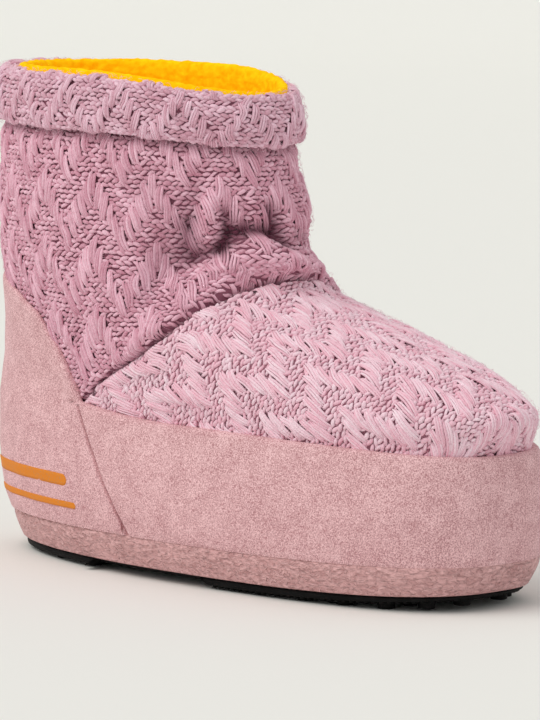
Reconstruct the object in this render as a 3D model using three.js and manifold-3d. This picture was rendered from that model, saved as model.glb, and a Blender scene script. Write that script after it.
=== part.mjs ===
// A low padded snow boot: knit upper and rolled knit cuff, suede-like rand and heel counter,
// pebbled foam band and black rubber outsole. Millimetres, +X toe, +Y far side, +Z up.
import * as THREE from "three";
import { mergeVertices } from "three/addons/utils/BufferGeometryUtils.js";
import Module from "manifold-3d";

const wasm = await Module();
wasm.setup();

// Driving dimensions
const LENGTH = 288;
const BALL_WIDTH = 120;
const BOARD_HEIGHT = 19.6;
const INSTEP_HEIGHT = 130.5;
const COLLAR_HEIGHT = 208.5;
const WALL = 4.5;
const GAP = 0.35;
const BAND_BOTTOM = 5;
const BAND_TOP = 19.2;
const TOE_SPRING = 1.6;
const SOLE_EDGE = 1.5;
const TOE_LIFT = 5;
const TOE_CURVE = 3;
const INSOLE_THICKNESS = 5;

// Mesh counts
const COLUMNS = 48;
const RAND_COLUMNS = 42;
const COUNTER_COLUMNS = 30;
const SOLE_COLUMNS = 36;

const HALF_LENGTH = LENGTH / 2;
const HALF_WIDTH = BALL_WIDTH / 2;

function table(columns, rows) {
  return rows.map((row) => Object.fromEntries(columns.map((name, i) => [name, row[i]])));
}

// Rings of the upper's outer face, from the board to the collar. back, front and widest are shares of
// half the length, half is a share of half the ball width. Heights are levels: 0 board, 1 instep, 2 collar.
const RING_COLUMNS = [
  "back", "front", "widest", "half", "levelBack", "levelSide", "levelFront", "roundBack", "roundFront",
];
const UPPER_RINGS = table(RING_COLUMNS, [
  [-0.910, 0.938, 0.028, 0.842, 0.000, 0.000, 0.011, 2.1, 2.8],
  [-0.934, 0.947, 0.028, 0.867, 0.220, 0.202, 0.193, 2.1, 2.8],
  [-0.955, 0.948, 0.028, 0.887, 0.626, 0.436, 0.400, 2.1, 2.7],
  [-0.960, 0.984, 0.000, 0.920, 0.707, 0.563, 0.522, 2.1, 2.5],
  [-0.964, 0.878, -0.076, 0.917, 0.788, 0.677, 0.630, 2.1, 2.2],
  [-0.968, 0.567, -0.181, 0.905, 0.878, 0.800, 0.768, 2.1, 1.93],
  [-0.971, 0.215, -0.299, 0.896, 0.968, 0.917, 0.900, 2.1, 1.77],
  [-0.974, 0.115, -0.382, 0.888, 1.058, 1.015, 1.000, 2.1, 1.75],
  [-0.977, 0.106, -0.438, 0.872, 1.199, 1.173, 1.160, 2.1, 1.87],
  [-0.981, 0.080, -0.458, 0.848, 1.404, 1.378, 1.353, 2.1, 2.0],
  [-0.984, 0.047, -0.479, 0.815, 1.647, 1.622, 1.571, 2.1, 2.07],
  [-0.984, 0.040, -0.486, 0.782, 1.865, 1.853, 1.763, 2.1, 2.08],
  [-0.981, 0.024, -0.486, 0.770, 2.000, 2.000, 1.897, 2.1, 2.1],
]);
const TOP = UPPER_RINGS.length - 1;
const RIM = 2;

// Soft folds of the knit between two points on the near side (y < 0) or far side, in millimetres.
const FOLDS = table(["x0", "y0", "z0", "x1", "y1", "z1", "width", "height"], [
  [-8, -44, 121, 8, -27, 133, 7, 2.6],
  [8, -27, 133, 17, -6, 137, 8, 3.4],
  [17, -6, 137, 12, 20, 134, 8, 3],
  [12, 20, 134, -4, 44, 125, 8, 2.4],
  [-9, -38, 136, 3, -27, 141, 5, -2.6],
  [3, -27, 141, 8, -18, 150, 5, -3],
  [8, -18, 150, 14, -4, 146, 4.5, -2.4],
  [14, -4, 146, 10, 18, 141, 5, -2.6],
  [10, 18, 141, -6, 38, 135, 6, -2],
  [-6, -33, 159, -4, -33, 145, 8, -2],
  [2, -25, 165, 3, -25, 155, 6, 1.6],
  [-8, -44, 149, -22, -51, 123, 9, -1.8],
  [-34, -51, 149, -38, -53, 117, 14, 1.8],
  [8, 22, 159, 2, 34, 147, 8, 1.8],
]);

// Vamp and shaft meet in this line, the same on both sides: x at each height.
const SEAM = table(["x", "z"], [
  [-61, 70], [-47, 80.5], [-24, 93], [-4, 106.5], [6, 117], [14, 125], [20, 128],
]);
const SEAM_GROOVE = 1.5;
const SEAM_STEPS = 14;

// Thickness of the suede-like wrap over the upper, at the upper's ring numbers.
const WRAP = table(["ring", "back", "side", "front"], [
  [0, 7.2, 7.2, 6.8],
  [0.35, 8.8, 8.2, 7.6],
  [1, 9.4, 8.0, 7.6],
  [1.55, 8.0, 5.8, 6.2],
  [2, 5.2, 3.6, 3.8],
  [3, 3.8, 2.8, 2.8],
  [4, 2.8, 2.4, 2.4],
  [6, 2.2, 2.2, 2.2],
]);

// Heel counter: angle round the boot and ring number of its edge, from the heel's middle (0) to its seam (1).
const COUNTER_EDGE = table(["share", "angle", "ring"], [
  [0, 3.142, 5.62],
  [0.3, 2.66, 5.55],
  [0.55, 2.32, 5.28],
  [0.7, 2.14, 4.75],
  [0.82, 2.07, 3.7],
  [0.92, 2.03, 2.6],
  [0.96, 2.0, 2.0],
  [1, 1.9, 1.96],
]);
const COUNTER_FOOT_ANGLE = 1.65;
const LEVEL_FOOT = 0.4;

// Reach of the cutting form and of what it cuts, past the faces that stay.
const INTO_UPPER = 1.5;
const GROWN_FOOT = 3;
const GROWN_LID = 8;
const GROWN_DIP = 16;

// Rand and counter butt along a straight seam, seen from the side: its foot, its slope and its slit.
const BUTT_SEAM = { x: -23.5, z: 19.6, slope: 0.675, slit: 0.4 };
const RAND_REACH_ANGLE = 2.2;

// Outline of the foam band at its top and bottom edge, and of the sole under it.
const BAND_OUTLINE = { back: -137.2, front: 141.2, widest: 4, half: 57.2, roundBack: 2.05, roundFront: 2.8 };
const BAND_TAPER = 4.2;

const COLOURS = {
  knit: 0xc88d9b,
  cuff: 0xc6939e,
  suede: 0xd7abaa,
  band: 0xbe9392,
  rubber: 0x2c292c,
  insole: 0xf5b41e,
};

function height(level) {
  const instep = BOARD_HEIGHT + level * (INSTEP_HEIGHT - BOARD_HEIGHT);
  const collar = INSTEP_HEIGHT + (level - 1) * (COLLAR_HEIGHT - INSTEP_HEIGHT);
  return level <= 1 ? instep : collar;
}

// Value of a named column between two rows, along a cubic that never overshoots.
function smooth(rows, name, at) {
  const last = rows.length - 1;
  const i = Math.min(Math.max(Math.floor(at), 0), last - 1);
  const slope = (k) => {
    if (k <= 0) return rows[1][name] - rows[0][name];
    if (k >= last) return rows[last][name] - rows[last - 1][name];
    const before = rows[k][name] - rows[k - 1][name];
    const after = rows[k + 1][name] - rows[k][name];
    return before * after > 0 ? (2 * before * after) / (before + after) : 0;
  };
  const u = Math.min(Math.max(at - i, 0), 1);
  const p = rows[i][name];
  const q = rows[i + 1][name];
  return p * (1 + 2 * u) * (1 - u) ** 2 + slope(i) * u * (1 - u) ** 2
    + q * u * u * (3 - 2 * u) + slope(i + 1) * u * u * (u - 1);
}

// Straight interpolation of a column over another column.
function linear(rows, key, name, at) {
  let i = 0;
  while (i < rows.length - 2 && at > rows[i + 1][key]) i += 1;
  const a = rows[i];
  const b = rows[i + 1];
  const u = Math.min(Math.max((at - a[key]) / (b[key] - a[key]), 0), 1);
  return a[name] + (b[name] - a[name]) * u;
}

// Corner of a rounded outline: unit x and y at an angle, the front and back with their own roundness.
function corner(angle, roundBack, roundFront) {
  const c = Math.cos(angle);
  const s = Math.sin(angle);
  const power = 2 / (c >= 0 ? roundFront : roundBack);
  return [Math.sign(c) * Math.abs(c) ** power, Math.sign(s) * Math.abs(s) ** power];
}

// Point of the upper's outer face, without folds, at an angle round the boot and a ring number.
function bare(angle, ring) {
  const value = (name) => smooth(UPPER_RINGS, name, ring);
  const [cx, sy] = corner(angle, value("roundBack"), value("roundFront"));
  const widest = value("widest") * HALF_LENGTH;
  const end = (cx >= 0 ? value("front") : value("back")) * HALF_LENGTH;
  const side = height(value("levelSide"));
  const tip = height(cx >= 0 ? value("levelFront") : value("levelBack"));
  return new THREE.Vector3(
    widest + Math.abs(end - widest) * cx,
    value("half") * HALF_WIDTH * sy,
    side + (tip - side) * cx * cx,
  );
}

function outward(angle, ring) {
  const e = 0.002;
  const low = Math.max(ring - e, 0);
  const high = Math.min(ring + e, TOP);
  const around = bare(angle + e, ring).sub(bare(angle - e, ring));
  const up = bare(angle, high).sub(bare(angle, low));
  return around.cross(up).normalize();
}

function distanceToFold(point, fold) {
  const start = new THREE.Vector3(fold.x0, fold.y0, fold.z0);
  const line = new THREE.Line3(start, new THREE.Vector3(fold.x1, fold.y1, fold.z1));
  return line.closestPointToPoint(point, true, new THREE.Vector3()).distanceTo(point);
}

// Height of folds and creases over the bare form.
function relief(point) {
  let rise = 0;
  for (const fold of FOLDS) {
    rise += fold.height * Math.exp(-((distanceToFold(point, fold) / fold.width) ** 2));
  }
  return rise;
}

// Point at a distance outside (or inside) the upper's outer face.
function skin(angle, ring, offset) {
  const point = bare(angle, ring);
  const rise = ring > RIM ? relief(point) : 0;
  return point.addScaledVector(outward(angle, ring), rise + offset);
}

function wrapThickness(angle, ring) {
  const c = Math.cos(angle);
  const side = linear(WRAP, "ring", "side", ring);
  const end = linear(WRAP, "ring", c >= 0 ? "front" : "back", ring);
  return side + (end - side) * c * c;
}

// Closed solid from equal closed sections, joined round to the first one or capped at both ends.
function sweep(sections, joined) {
  const size = sections[0].length;
  const count = sections.length;
  const positions = sections.flat().flatMap((p) => [p.x, p.y, p.z]);
  const faces = [];
  const spans = joined ? count : count - 1;
  for (let j = 0; j < spans; j += 1) {
    const k = (j + 1) % count;
    for (let i = 0; i < size; i += 1) {
      const n = (i + 1) % size;
      faces.push([j * size + i, k * size + i, k * size + n]);
      faces.push([j * size + i, k * size + n, j * size + n]);
    }
  }
  if (!joined) {
    faces.push(...cap(sections[0], 0, true));
    faces.push(...cap(sections[count - 1], (count - 1) * size, false));
  }
  return solidGeometry(positions, faces);
}

// Flat-ish lid over one section. A lid at the start runs with the section, one at the end against it.
function cap(section, first, start) {
  const along = section[1].clone().sub(section[0]).normalize();
  const normal = new THREE.Vector3();
  for (let i = 0; i < section.length; i += 1) {
    const a = section[i];
    const b = section[(i + 1) % section.length];
    normal.add(new THREE.Vector3().crossVectors(a, b));
  }
  normal.normalize();
  const across = new THREE.Vector3().crossVectors(normal, along);
  const outline = section.map((p) => new THREE.Vector2(p.dot(along), p.dot(across)));
  const lid = THREE.ShapeUtils.triangulateShape(outline, []);
  const [a, b, c] = lid[0];
  const turn = outline[b].clone().sub(outline[a]).cross(outline[c].clone().sub(outline[a])) > 0;
  return lid.map((t) => (turn === start ? [t[0], t[1], t[2]] : [t[0], t[2], t[1]]).map((i) => first + i));
}

function solidGeometry(positions, faces) {
  const geometry = new THREE.BufferGeometry();
  geometry.setAttribute("position", new THREE.Float32BufferAttribute(positions, 3));
  geometry.setIndex(faces.flat());
  return outwardFacing(geometry);
}

function outwardFacing(geometry) {
  const position = geometry.getAttribute("position");
  const index = geometry.getIndex().array;
  let volume = 0;
  const corners = [new THREE.Vector3(), new THREE.Vector3(), new THREE.Vector3()];
  for (let i = 0; i < index.length; i += 3) {
    corners.forEach((p, k) => p.fromBufferAttribute(position, index[i + k]));
    volume += corners[0].dot(new THREE.Vector3().crossVectors(corners[1], corners[2]));
  }
  if (volume < 0) geometry.setIndex(Array.from(index).reverse());
  return geometry;
}

// Closed solid from rings stacked one on the other, each end closed by a fan to its middle point.
function loft(rings, bottomMiddle, topMiddle) {
  const size = rings[0].length;
  const points = rings.flat().concat([bottomMiddle, topMiddle]);
  const faces = [];
  for (let j = 0; j < rings.length - 1; j += 1) {
    for (let i = 0; i < size; i += 1) {
      const n = (i + 1) % size;
      faces.push([j * size + i, j * size + n, (j + 1) * size + n]);
      faces.push([j * size + i, (j + 1) * size + n, (j + 1) * size + i]);
    }
  }
  const last = (rings.length - 1) * size;
  for (let i = 0; i < size; i += 1) {
    const n = (i + 1) % size;
    faces.push([n, i, rings.length * size]);
    faces.push([last + i, last + n, rings.length * size + 1]);
  }
  return solidGeometry(points.flatMap((p) => [p.x, p.y, p.z]), faces);
}

function angles(count) {
  return Array.from({ length: count }, (_, k) => -Math.PI + (2 * Math.PI * k) / count);
}

function springRise(x, rise) {
  const share = Math.max(0, (x - BAND_OUTLINE.widest) / (BAND_OUTLINE.front - BAND_OUTLINE.widest));
  return rise * share ** TOE_CURVE;
}

// Ring round the sole, inset from the band's top edge, with its height plus the toe's rise.
function soleRing(inset, z, rise, scale = 1, count = COLUMNS) {
  const o = BAND_OUTLINE;
  return angles(count).map((angle) => {
    const [cx, sy] = corner(angle, o.roundBack, o.roundFront);
    const reach = cx >= 0 ? o.front - o.widest : o.widest - o.back;
    const x = o.widest + (reach - inset) * cx * scale;
    return new THREE.Vector3(x, (o.half - inset) * sy * scale, z + springRise(x, rise));
  });
}

function middle(z) {
  return new THREE.Vector3(BAND_OUTLINE.widest, 0, z);
}

// Upper: outer face up, over the collar edge, inner face down; open at the collar and underneath.
const OUTER_RINGS = [
  0, 1, 2, 2.25, 2.6, 3, 3.5, 4, 4.5, 5, 5.5, 5.9, 6.3, 6.7, 7, 7.3, 7.6, 7.9, 8.2, 8.5, 8.9, 9.4,
  10.2, TOP,
];

function upperGeometry() {
  const innerRings = [TOP, 10, 9, 8.3, 7.7, 7.2, 6.6, 5.8, 4.8, 3.8, 2.8, 1.5, 0];
  const sections = angles(COLUMNS).map((angle) => {
    const outer = OUTER_RINGS.map((ring) => skin(angle, ring, 0));
    const inner = innerRings.map((ring) => skin(angle, ring, -WALL));
    inner[0].z = outer[outer.length - 1].z;
    inner[inner.length - 1].z = outer[0].z;
    return outer.concat(inner);
  });
  return cutSeamGroove(sweep(sections, true));
}

// Angle and ring of the bare form where it meets x and z, found by halving the interval for each in turn.
function anglesAt(x, z) {
  let angle = Math.PI / 2;
  let ring = 4;
  for (let round = 0; round < 24; round += 1) {
    ring = halve(0, TOP, (r) => bare(angle, r).z < z);
    angle = halve(0, Math.PI, (a) => bare(a, ring).x > x);
  }
  return { angle, ring };
}

function halve(from, to, below) {
  let low = from;
  let high = to;
  for (let step = 0; step < 24; step += 1) {
    const mid = (low + high) / 2;
    if (below(mid)) low = mid;
    else high = mid;
  }
  return (low + high) / 2;
}

// Round groove in the knit where vamp and shaft are sewn together, from rim over the instep to rim.
function cutSeamGroove(geometry) {
  const half = [];
  for (let k = 0; k <= SEAM_STEPS / 2; k += 1) {
    const at = (2 * k * (SEAM.length - 1)) / SEAM_STEPS;
    const { angle, ring } = anglesAt(smooth(SEAM, "x", at), smooth(SEAM, "z", at));
    half.push({ angle, ring });
  }
  half[half.length - 1].angle = 0;
  const far = half.map((p) => skin(p.angle, p.ring, 0));
  const near = half.slice(0, -1).map((p) => skin(-p.angle, p.ring, 0));
  const path = new THREE.CatmullRomCurve3(near.concat(far.reverse()));
  const ringShape = new THREE.Shape();
  ringShape.absarc(0, 0, SEAM_GROOVE, 0, 2 * Math.PI, false);
  const options = { steps: 2 * SEAM_STEPS, curveSegments: 5, bevelEnabled: false, extrudePath: path };
  const tool = toManifold(new THREE.ExtrudeGeometry(ringShape, options));
  return fromManifold(toManifold(geometry).subtract(tool));
}

// The upper's outer form, filled and a gap larger. What lies over the upper is cut by it.
function grownUpper() {
  const rings = OUTER_RINGS.map((ring) => angles(COLUMNS).map((angle) => skin(angle, ring, GAP)));
  for (const point of rings[0]) point.z -= GROWN_FOOT;
  rings.push(angles(COLUMNS).map((angle) => skin(angle, TOP, -GROWN_LID)));
  for (const ring of rings.slice(-2)) {
    ring.forEach((point, i) => {
      point.z = bare(angles(COLUMNS)[i], TOP).z + GAP;
    });
  }
  const collarMiddle = bare(0, TOP).lerp(bare(Math.PI, TOP), 0.5);
  collarMiddle.z = COLLAR_HEIGHT - GROWN_DIP;
  return toManifold(loft(rings, middle(BOARD_HEIGHT - GROWN_FOOT), collarMiddle));
}

function cutByUpper(geometry) {
  return fromManifold(toManifold(geometry).subtract(grownUpper()));
}

// Cuff: hooks over the collar edge and hangs outside the shaft. Rise is above the collar edge.
const CUFF_RINGS = { foot: 10.42, low: 10.6, belly: 11.05, shoulder: 11.6 };
const CUFF_OFFSETS = { foot: 2.4, low: 4.2, belly: 5, shoulder: 4.8, top: 4 };
const CUFF_SEAT = 0.5;
const CUFF_CREST = table(["offset", "rise"], [
  [-WALL, CUFF_SEAT], [-3.8, 3.2], [-1, 4.2], [1.8, 3.3],
]);

function cuffGeometry() {
  const sections = angles(COLUMNS).map((angle) => {
    const inner = [skin(angle, CUFF_RINGS.foot + 0.05, -INTO_UPPER)];
    const edge = skin(angle, TOP, -INTO_UPPER);
    const crest = CUFF_CREST.map((row) => {
      const point = skin(angle, TOP, row.offset);
      point.z = bare(angle, TOP).z + row.rise;
      return point;
    });
    const inside = edge.clone();
    inside.z = bare(angle, TOP).z + CUFF_SEAT;
    const outer = [
      skin(angle, TOP, CUFF_OFFSETS.top),
      skin(angle, CUFF_RINGS.shoulder, CUFF_OFFSETS.shoulder),
      skin(angle, CUFF_RINGS.belly, CUFF_OFFSETS.belly),
      skin(angle, CUFF_RINGS.low, CUFF_OFFSETS.low),
      skin(angle, CUFF_RINGS.foot, CUFF_OFFSETS.foot),
    ];
    return inner.concat([inside], crest, outer);
  });
  return cutByUpper(sweep(sections, true));
}

// Rand: a wall round toe and sides between the counter's two front seams, its top edge rolled.
const RAND_RISE = table(["ring", "share"], [
  [0, 0.9], [0.06, 0.985], [0.35, 1], [1, 1], [1.55, 1], [1.92, 1], [1.985, 0.82], [2.02, 0.5],
]);
const RAND_INNER_RINGS = [1.9, 1, 0];

// What lies in front of the butt seam, or behind it.
function trimAtSeam(geometry, front) {
  const normal = new THREE.Vector3(1, 0, BUTT_SEAM.slope).normalize();
  const offset = normal.dot(new THREE.Vector3(BUTT_SEAM.x, 0, BUTT_SEAM.z));
  const sign = front ? 1 : -1;
  const solid = toManifold(geometry);
  const kept = solid.trimByPlane(normal.multiplyScalar(sign).toArray(), sign * offset + BUTT_SEAM.slit / 2);
  return fromManifold(kept);
}

function randGeometry() {
  const sections = [];
  for (let k = 0; k <= RAND_COLUMNS; k += 1) {
    const angle = RAND_REACH_ANGLE * ((2 * k) / RAND_COLUMNS - 1);
    const outer = RAND_RISE.map((row) => wrapPoint(angle, row.ring, row.share));
    const inner = RAND_INNER_RINGS.map((ring) => insidePoint(angle, ring));
    sections.push(outer.concat(inner));
  }
  return cutByUpper(trimAtSeam(sweep(sections, false), true));
}

// Point of the wrap between its inner face (share 0) and outer face (share 1). Close to the board the
// wrap grows level, so that its foot stands on the band.
function wrapPoint(angle, ring, share) {
  const thickness = wrapThickness(angle, ring);
  const direction = outward(angle, ring);
  direction.z *= Math.min(1, ring / LEVEL_FOOT);
  return bare(angle, ring).addScaledVector(direction.normalize(), GAP + (thickness - GAP) * share);
}

function insidePoint(angle, ring) {
  return skin(angle, ring, -INTO_UPPER);
}

// Heel counter: the same wrap round the heel, from the band up to its curved top edge.
const COUNTER_RISE = table(["height", "share"], [
  [0, 0.9], [0.02, 0.985], [0.1, 1], [0.26, 1], [0.42, 1], [0.6, 1], [0.8, 1], [0.97, 1], [1, 0.6],
]);
const COUNTER_INNER_HEIGHTS = [1, 0.66, 0.33, 0];

// Angle of one of the counter's columns: along the slant of the seam up to its top, then to the edge.
function counterAngle(away, ring) {
  const seamTop = COUNTER_EDGE[COUNTER_EDGE.length - 1];
  const foot = Math.PI - (Math.PI - COUNTER_FOOT_ANGLE) * away;
  const rim = Math.PI - (Math.PI - seamTop.angle) * away;
  if (ring <= seamTop.ring) return foot + ((rim - foot) * ring) / seamTop.ring;
  const top = linear(COUNTER_EDGE, "share", "angle", away);
  const reach = linear(COUNTER_EDGE, "share", "ring", away);
  return rim + ((top - rim) * (ring - seamTop.ring)) / (reach - seamTop.ring);
}

function counterGeometry() {
  const sections = [];
  for (let k = 0; k <= COUNTER_COLUMNS; k += 1) {
    const share = (2 * k) / COUNTER_COLUMNS - 1;
    const away = Math.abs(share);
    const side = share < 0 ? 1 : -1;
    const reach = linear(COUNTER_EDGE, "share", "ring", away);
    const point = (heightShare, wrap) => {
      const ring = heightShare * reach;
      return wrapPoint(side * counterAngle(away, ring), ring, wrap);
    };
    const outer = COUNTER_RISE.map((row) => point(row.height, row.share));
    const inner = COUNTER_INNER_HEIGHTS.map((heightShare) => {
      const ring = heightShare * reach;
      return insidePoint(side * counterAngle(away, ring), ring);
    });
    sections.push(outer.concat(inner));
  }
  return cutByUpper(trimAtSeam(sweep(sections, false), false));
}

// Foam band round the whole boot, with softened top and bottom edges.
function bandGeometry() {
  const rings = [
    soleRing(BAND_TAPER + 1.6, BAND_BOTTOM, TOE_SPRING + 1),
    soleRing(BAND_TAPER + 0.2, BAND_BOTTOM + 0.9, TOE_SPRING + 1),
    soleRing(0.9, BAND_BOTTOM + 8.5, TOE_SPRING + 0.4),
    soleRing(0, BAND_TOP - 1.2, TOE_SPRING),
    soleRing(1.6, BAND_TOP, TOE_SPRING),
    soleRing(1.6, BAND_TOP, TOE_SPRING, 0.5),
  ];
  return loft(rings, middle(BAND_BOTTOM), middle(BAND_TOP));
}

function insoleGeometry() {
  const z = BAND_TOP + 0.3;
  const inset = WALL + 0.6;
  const ringAt = (extra, base, scale) => angles(COLUMNS).map((angle) => {
    const wall = skin(angle, 0.1, -inset - extra);
    const x = BAND_OUTLINE.widest + (wall.x - BAND_OUTLINE.widest) * scale;
    return new THREE.Vector3(x, wall.y * scale, base + springRise(x, TOE_SPRING));
  });
  const rings = [
    ringAt(0, z, 0.5),
    ringAt(0, z, 1),
    ringAt(0, z + INSOLE_THICKNESS - 0.8, 1),
    ringAt(1, z + INSOLE_THICKNESS, 1),
    ringAt(1, z + INSOLE_THICKNESS, 0.5),
  ];
  return loft(rings, middle(z), middle(z + INSOLE_THICKNESS));
}

function toManifold(geometry) {
  const bare3d = geometry.clone();
  bare3d.deleteAttribute("normal");
  bare3d.deleteAttribute("uv");
  const merged = mergeVertices(bare3d);
  return new wasm.Manifold(new wasm.Mesh({
    numProp: 3,
    vertProperties: new Float32Array(merged.getAttribute("position").array),
    triVerts: new Uint32Array(merged.getIndex().array),
  }));
}

function fromManifold(solid) {
  const mesh = solid.getMesh();
  const geometry = new THREE.BufferGeometry();
  geometry.setAttribute("position", new THREE.BufferAttribute(new Float32Array(mesh.vertProperties), 3));
  geometry.setIndex(Array.from(mesh.triVerts));
  return geometry;
}

function box(x0, x1, y0, y1, z0, z1) {
  const geometry = new THREE.BoxGeometry(x1 - x0, y1 - y0, z1 - z0);
  geometry.translate((x0 + x1) / 2, (y0 + y1) / 2, (z0 + z1) / 2);
  return geometry;
}

function disc(x, y, radius, z0, z1, sides) {
  const geometry = new THREE.CylinderGeometry(radius, radius, z1 - z0, sides);
  geometry.rotateX(Math.PI / 2);
  geometry.translate(x, y, (z0 + z1) / 2);
  return geometry;
}

// Outsole: a thin shank under the whole band, thicker heel and forefoot pads, studs, bars and treads.
const SHANK_INSET = BAND_TAPER + 5;
const PAD_INSET = BAND_TAPER + 2.4;
const SHANK_BOTTOM = 3;
const SOLE_TOP = BAND_BOTTOM - GAP;
const HEEL_PAD_FRONT = -50;
const FOREFOOT_PAD_BACK = 14;
const STUD_RADIUS = 3.5;
const STUD_INSET = PAD_INSET + 7.5;
const LUG_ROOT = 1.2;
const PAD_RISE = TOE_SPRING + 3.4;
const FOREFOOT_BARS = table(["x", "reach"], [[36, 27], [52, 29], [88, 27], [104, 22]]);
const HEEL_BARS = table(["x", "reach"], [[-116, 17], [-74, 25]]);
const BAR_HALF = 2.6;
const TREADS = table(["x", "radius"], [[-95, 12], [70, 13]]);
const STUDS = table(["angle"], [
  [0.16], [0.46], [0.74], [0.98], [1.18], [1.36], [2.1], [2.34], [2.6], [2.88],
]);

function liftAt(x) {
  const start = 100;
  const share = Math.max(0, (x - start) / (BAND_OUTLINE.front - start));
  return TOE_LIFT * share * share;
}

// Top of a stud or bar at x, sunk into the pad above it.
function lugTop(x) {
  return SOLE_EDGE + springRise(x, PAD_RISE) + LUG_ROOT;
}

function soleLayer(insetTop, insetBottom, bottom, rise) {
  const rings = [
    soleRing(insetBottom, bottom, rise, 1, SOLE_COLUMNS),
    soleRing(insetTop, bottom + 1, rise, 1, SOLE_COLUMNS),
    soleRing(insetTop, SOLE_TOP, TOE_SPRING + 1, 1, SOLE_COLUMNS),
  ];
  return toManifold(loft(rings, middle(bottom), middle(SOLE_TOP)));
}

function studGeometries() {
  const studs = [];
  for (const row of STUDS) {
    for (const side of [-1, 1]) {
      const o = BAND_OUTLINE;
      const [cx, sy] = corner(row.angle, o.roundBack, o.roundFront);
      const reach = cx >= 0 ? o.front - o.widest : o.widest - o.back;
      const x = o.widest + (reach - STUD_INSET) * cx;
      const y = side * (o.half - STUD_INSET) * sy;
      studs.push(disc(x, y, STUD_RADIUS, liftAt(x), lugTop(x), 12));
    }
  }
  return studs;
}

function outsoleGeometry() {
  const heel = toManifold(box(-160, HEEL_PAD_FRONT, -80, 80, -5, 20));
  const forefoot = toManifold(box(FOREFOOT_PAD_BACK, 160, -80, 80, -5, 20));
  const pads = soleLayer(PAD_INSET, PAD_INSET + 1.6, SOLE_EDGE, PAD_RISE);
  let sole = soleLayer(SHANK_INSET, SHANK_INSET + 1, SHANK_BOTTOM, TOE_SPRING + 1.8);
  sole = sole.add(pads.intersect(heel)).add(pads.intersect(forefoot));
  const lugs = studGeometries();
  for (const row of FOREFOOT_BARS.concat(HEEL_BARS)) {
    lugs.push(box(row.x - BAR_HALF, row.x + BAR_HALF, -row.reach, row.reach, liftAt(row.x), lugTop(row.x)));
  }
  for (const row of TREADS) lugs.push(disc(row.x, 0, row.radius, 0, lugTop(row.x), 20));
  for (const lug of lugs) sole = sole.add(toManifold(lug));
  return fromManifold(sole);
}

function piece(name, geometry, color, roughness) {
  geometry.computeVertexNormals();
  const material = new THREE.MeshStandardMaterial({ color, roughness, metalness: 0 });
  const mesh = new THREE.Mesh(geometry, material);
  mesh.name = name;
  return mesh;
}

const boot = new THREE.Group();
boot.add(piece("outsole", outsoleGeometry(), COLOURS.rubber, 0.55));
boot.add(piece("midsole", bandGeometry(), COLOURS.band, 0.6));
boot.add(piece("insole", insoleGeometry(), COLOURS.insole, 0.95));
boot.add(piece("upper", upperGeometry(), COLOURS.knit, 0.95));
boot.add(piece("cuff", cuffGeometry(), COLOURS.cuff, 0.95));
boot.add(piece("rand", randGeometry(), COLOURS.suede, 0.9));
boot.add(piece("heel_counter", counterGeometry(), COLOURS.suede, 0.9));

export default boot;
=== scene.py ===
import math

import bpy
import numpy as np
from mathutils import Matrix, Vector
from mathutils.bvhtree import BVHTree


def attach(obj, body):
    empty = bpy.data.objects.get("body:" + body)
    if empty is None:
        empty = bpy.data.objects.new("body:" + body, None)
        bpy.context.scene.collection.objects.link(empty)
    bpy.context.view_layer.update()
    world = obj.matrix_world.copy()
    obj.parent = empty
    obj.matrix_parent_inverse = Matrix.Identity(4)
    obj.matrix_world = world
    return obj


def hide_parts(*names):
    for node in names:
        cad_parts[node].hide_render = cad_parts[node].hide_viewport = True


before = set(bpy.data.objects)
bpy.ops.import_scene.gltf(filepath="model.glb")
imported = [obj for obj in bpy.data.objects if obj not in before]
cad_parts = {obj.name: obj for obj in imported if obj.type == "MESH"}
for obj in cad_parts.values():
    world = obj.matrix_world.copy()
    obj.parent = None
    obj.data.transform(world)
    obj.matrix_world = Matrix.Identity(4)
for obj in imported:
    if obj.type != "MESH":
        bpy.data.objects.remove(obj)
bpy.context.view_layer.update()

MM = 0.001
chance = np.random.default_rng(20)

# Driving sizes, the same as the solids'
HALF_LENGTH = 144.0
HALF_WIDTH = 60.0
BOARD = 19.6
INSTEP = 130.5
COLLAR = 208.5
WALL = 4.5
GAP = 0.35

# Outer face of the upper, ring by ring from the board to the collar. Back, front and widest are shares
# of half the length, half is a share of half the width, heights are levels: 0 board, 1 instep, 2 collar.
# The columns are back, front, widest, half, level at the back, side and front, round at the back and front.
UPPER_RINGS = np.array([
    [-0.910, 0.938, 0.028, 0.842, 0.000, 0.000, 0.011, 2.1, 2.8],
    [-0.934, 0.947, 0.028, 0.867, 0.220, 0.202, 0.193, 2.1, 2.8],
    [-0.955, 0.948, 0.028, 0.887, 0.626, 0.436, 0.400, 2.1, 2.7],
    [-0.960, 0.984, 0.000, 0.920, 0.707, 0.563, 0.522, 2.1, 2.5],
    [-0.964, 0.878, -0.076, 0.917, 0.788, 0.677, 0.630, 2.1, 2.2],
    [-0.968, 0.567, -0.181, 0.905, 0.878, 0.800, 0.768, 2.1, 1.93],
    [-0.971, 0.215, -0.299, 0.896, 0.968, 0.917, 0.900, 2.1, 1.77],
    [-0.974, 0.115, -0.382, 0.888, 1.058, 1.015, 1.000, 2.1, 1.75],
    [-0.977, 0.106, -0.438, 0.872, 1.199, 1.173, 1.160, 2.1, 1.87],
    [-0.981, 0.080, -0.458, 0.848, 1.404, 1.378, 1.353, 2.1, 2.0],
    [-0.984, 0.047, -0.479, 0.815, 1.647, 1.622, 1.571, 2.1, 2.07],
    [-0.984, 0.040, -0.486, 0.782, 1.865, 1.853, 1.763, 2.1, 2.08],
    [-0.981, 0.024, -0.486, 0.770, 2.000, 2.000, 1.897, 2.1, 2.1],
])
TOP = len(UPPER_RINGS) - 1
RIM = 2

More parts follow.
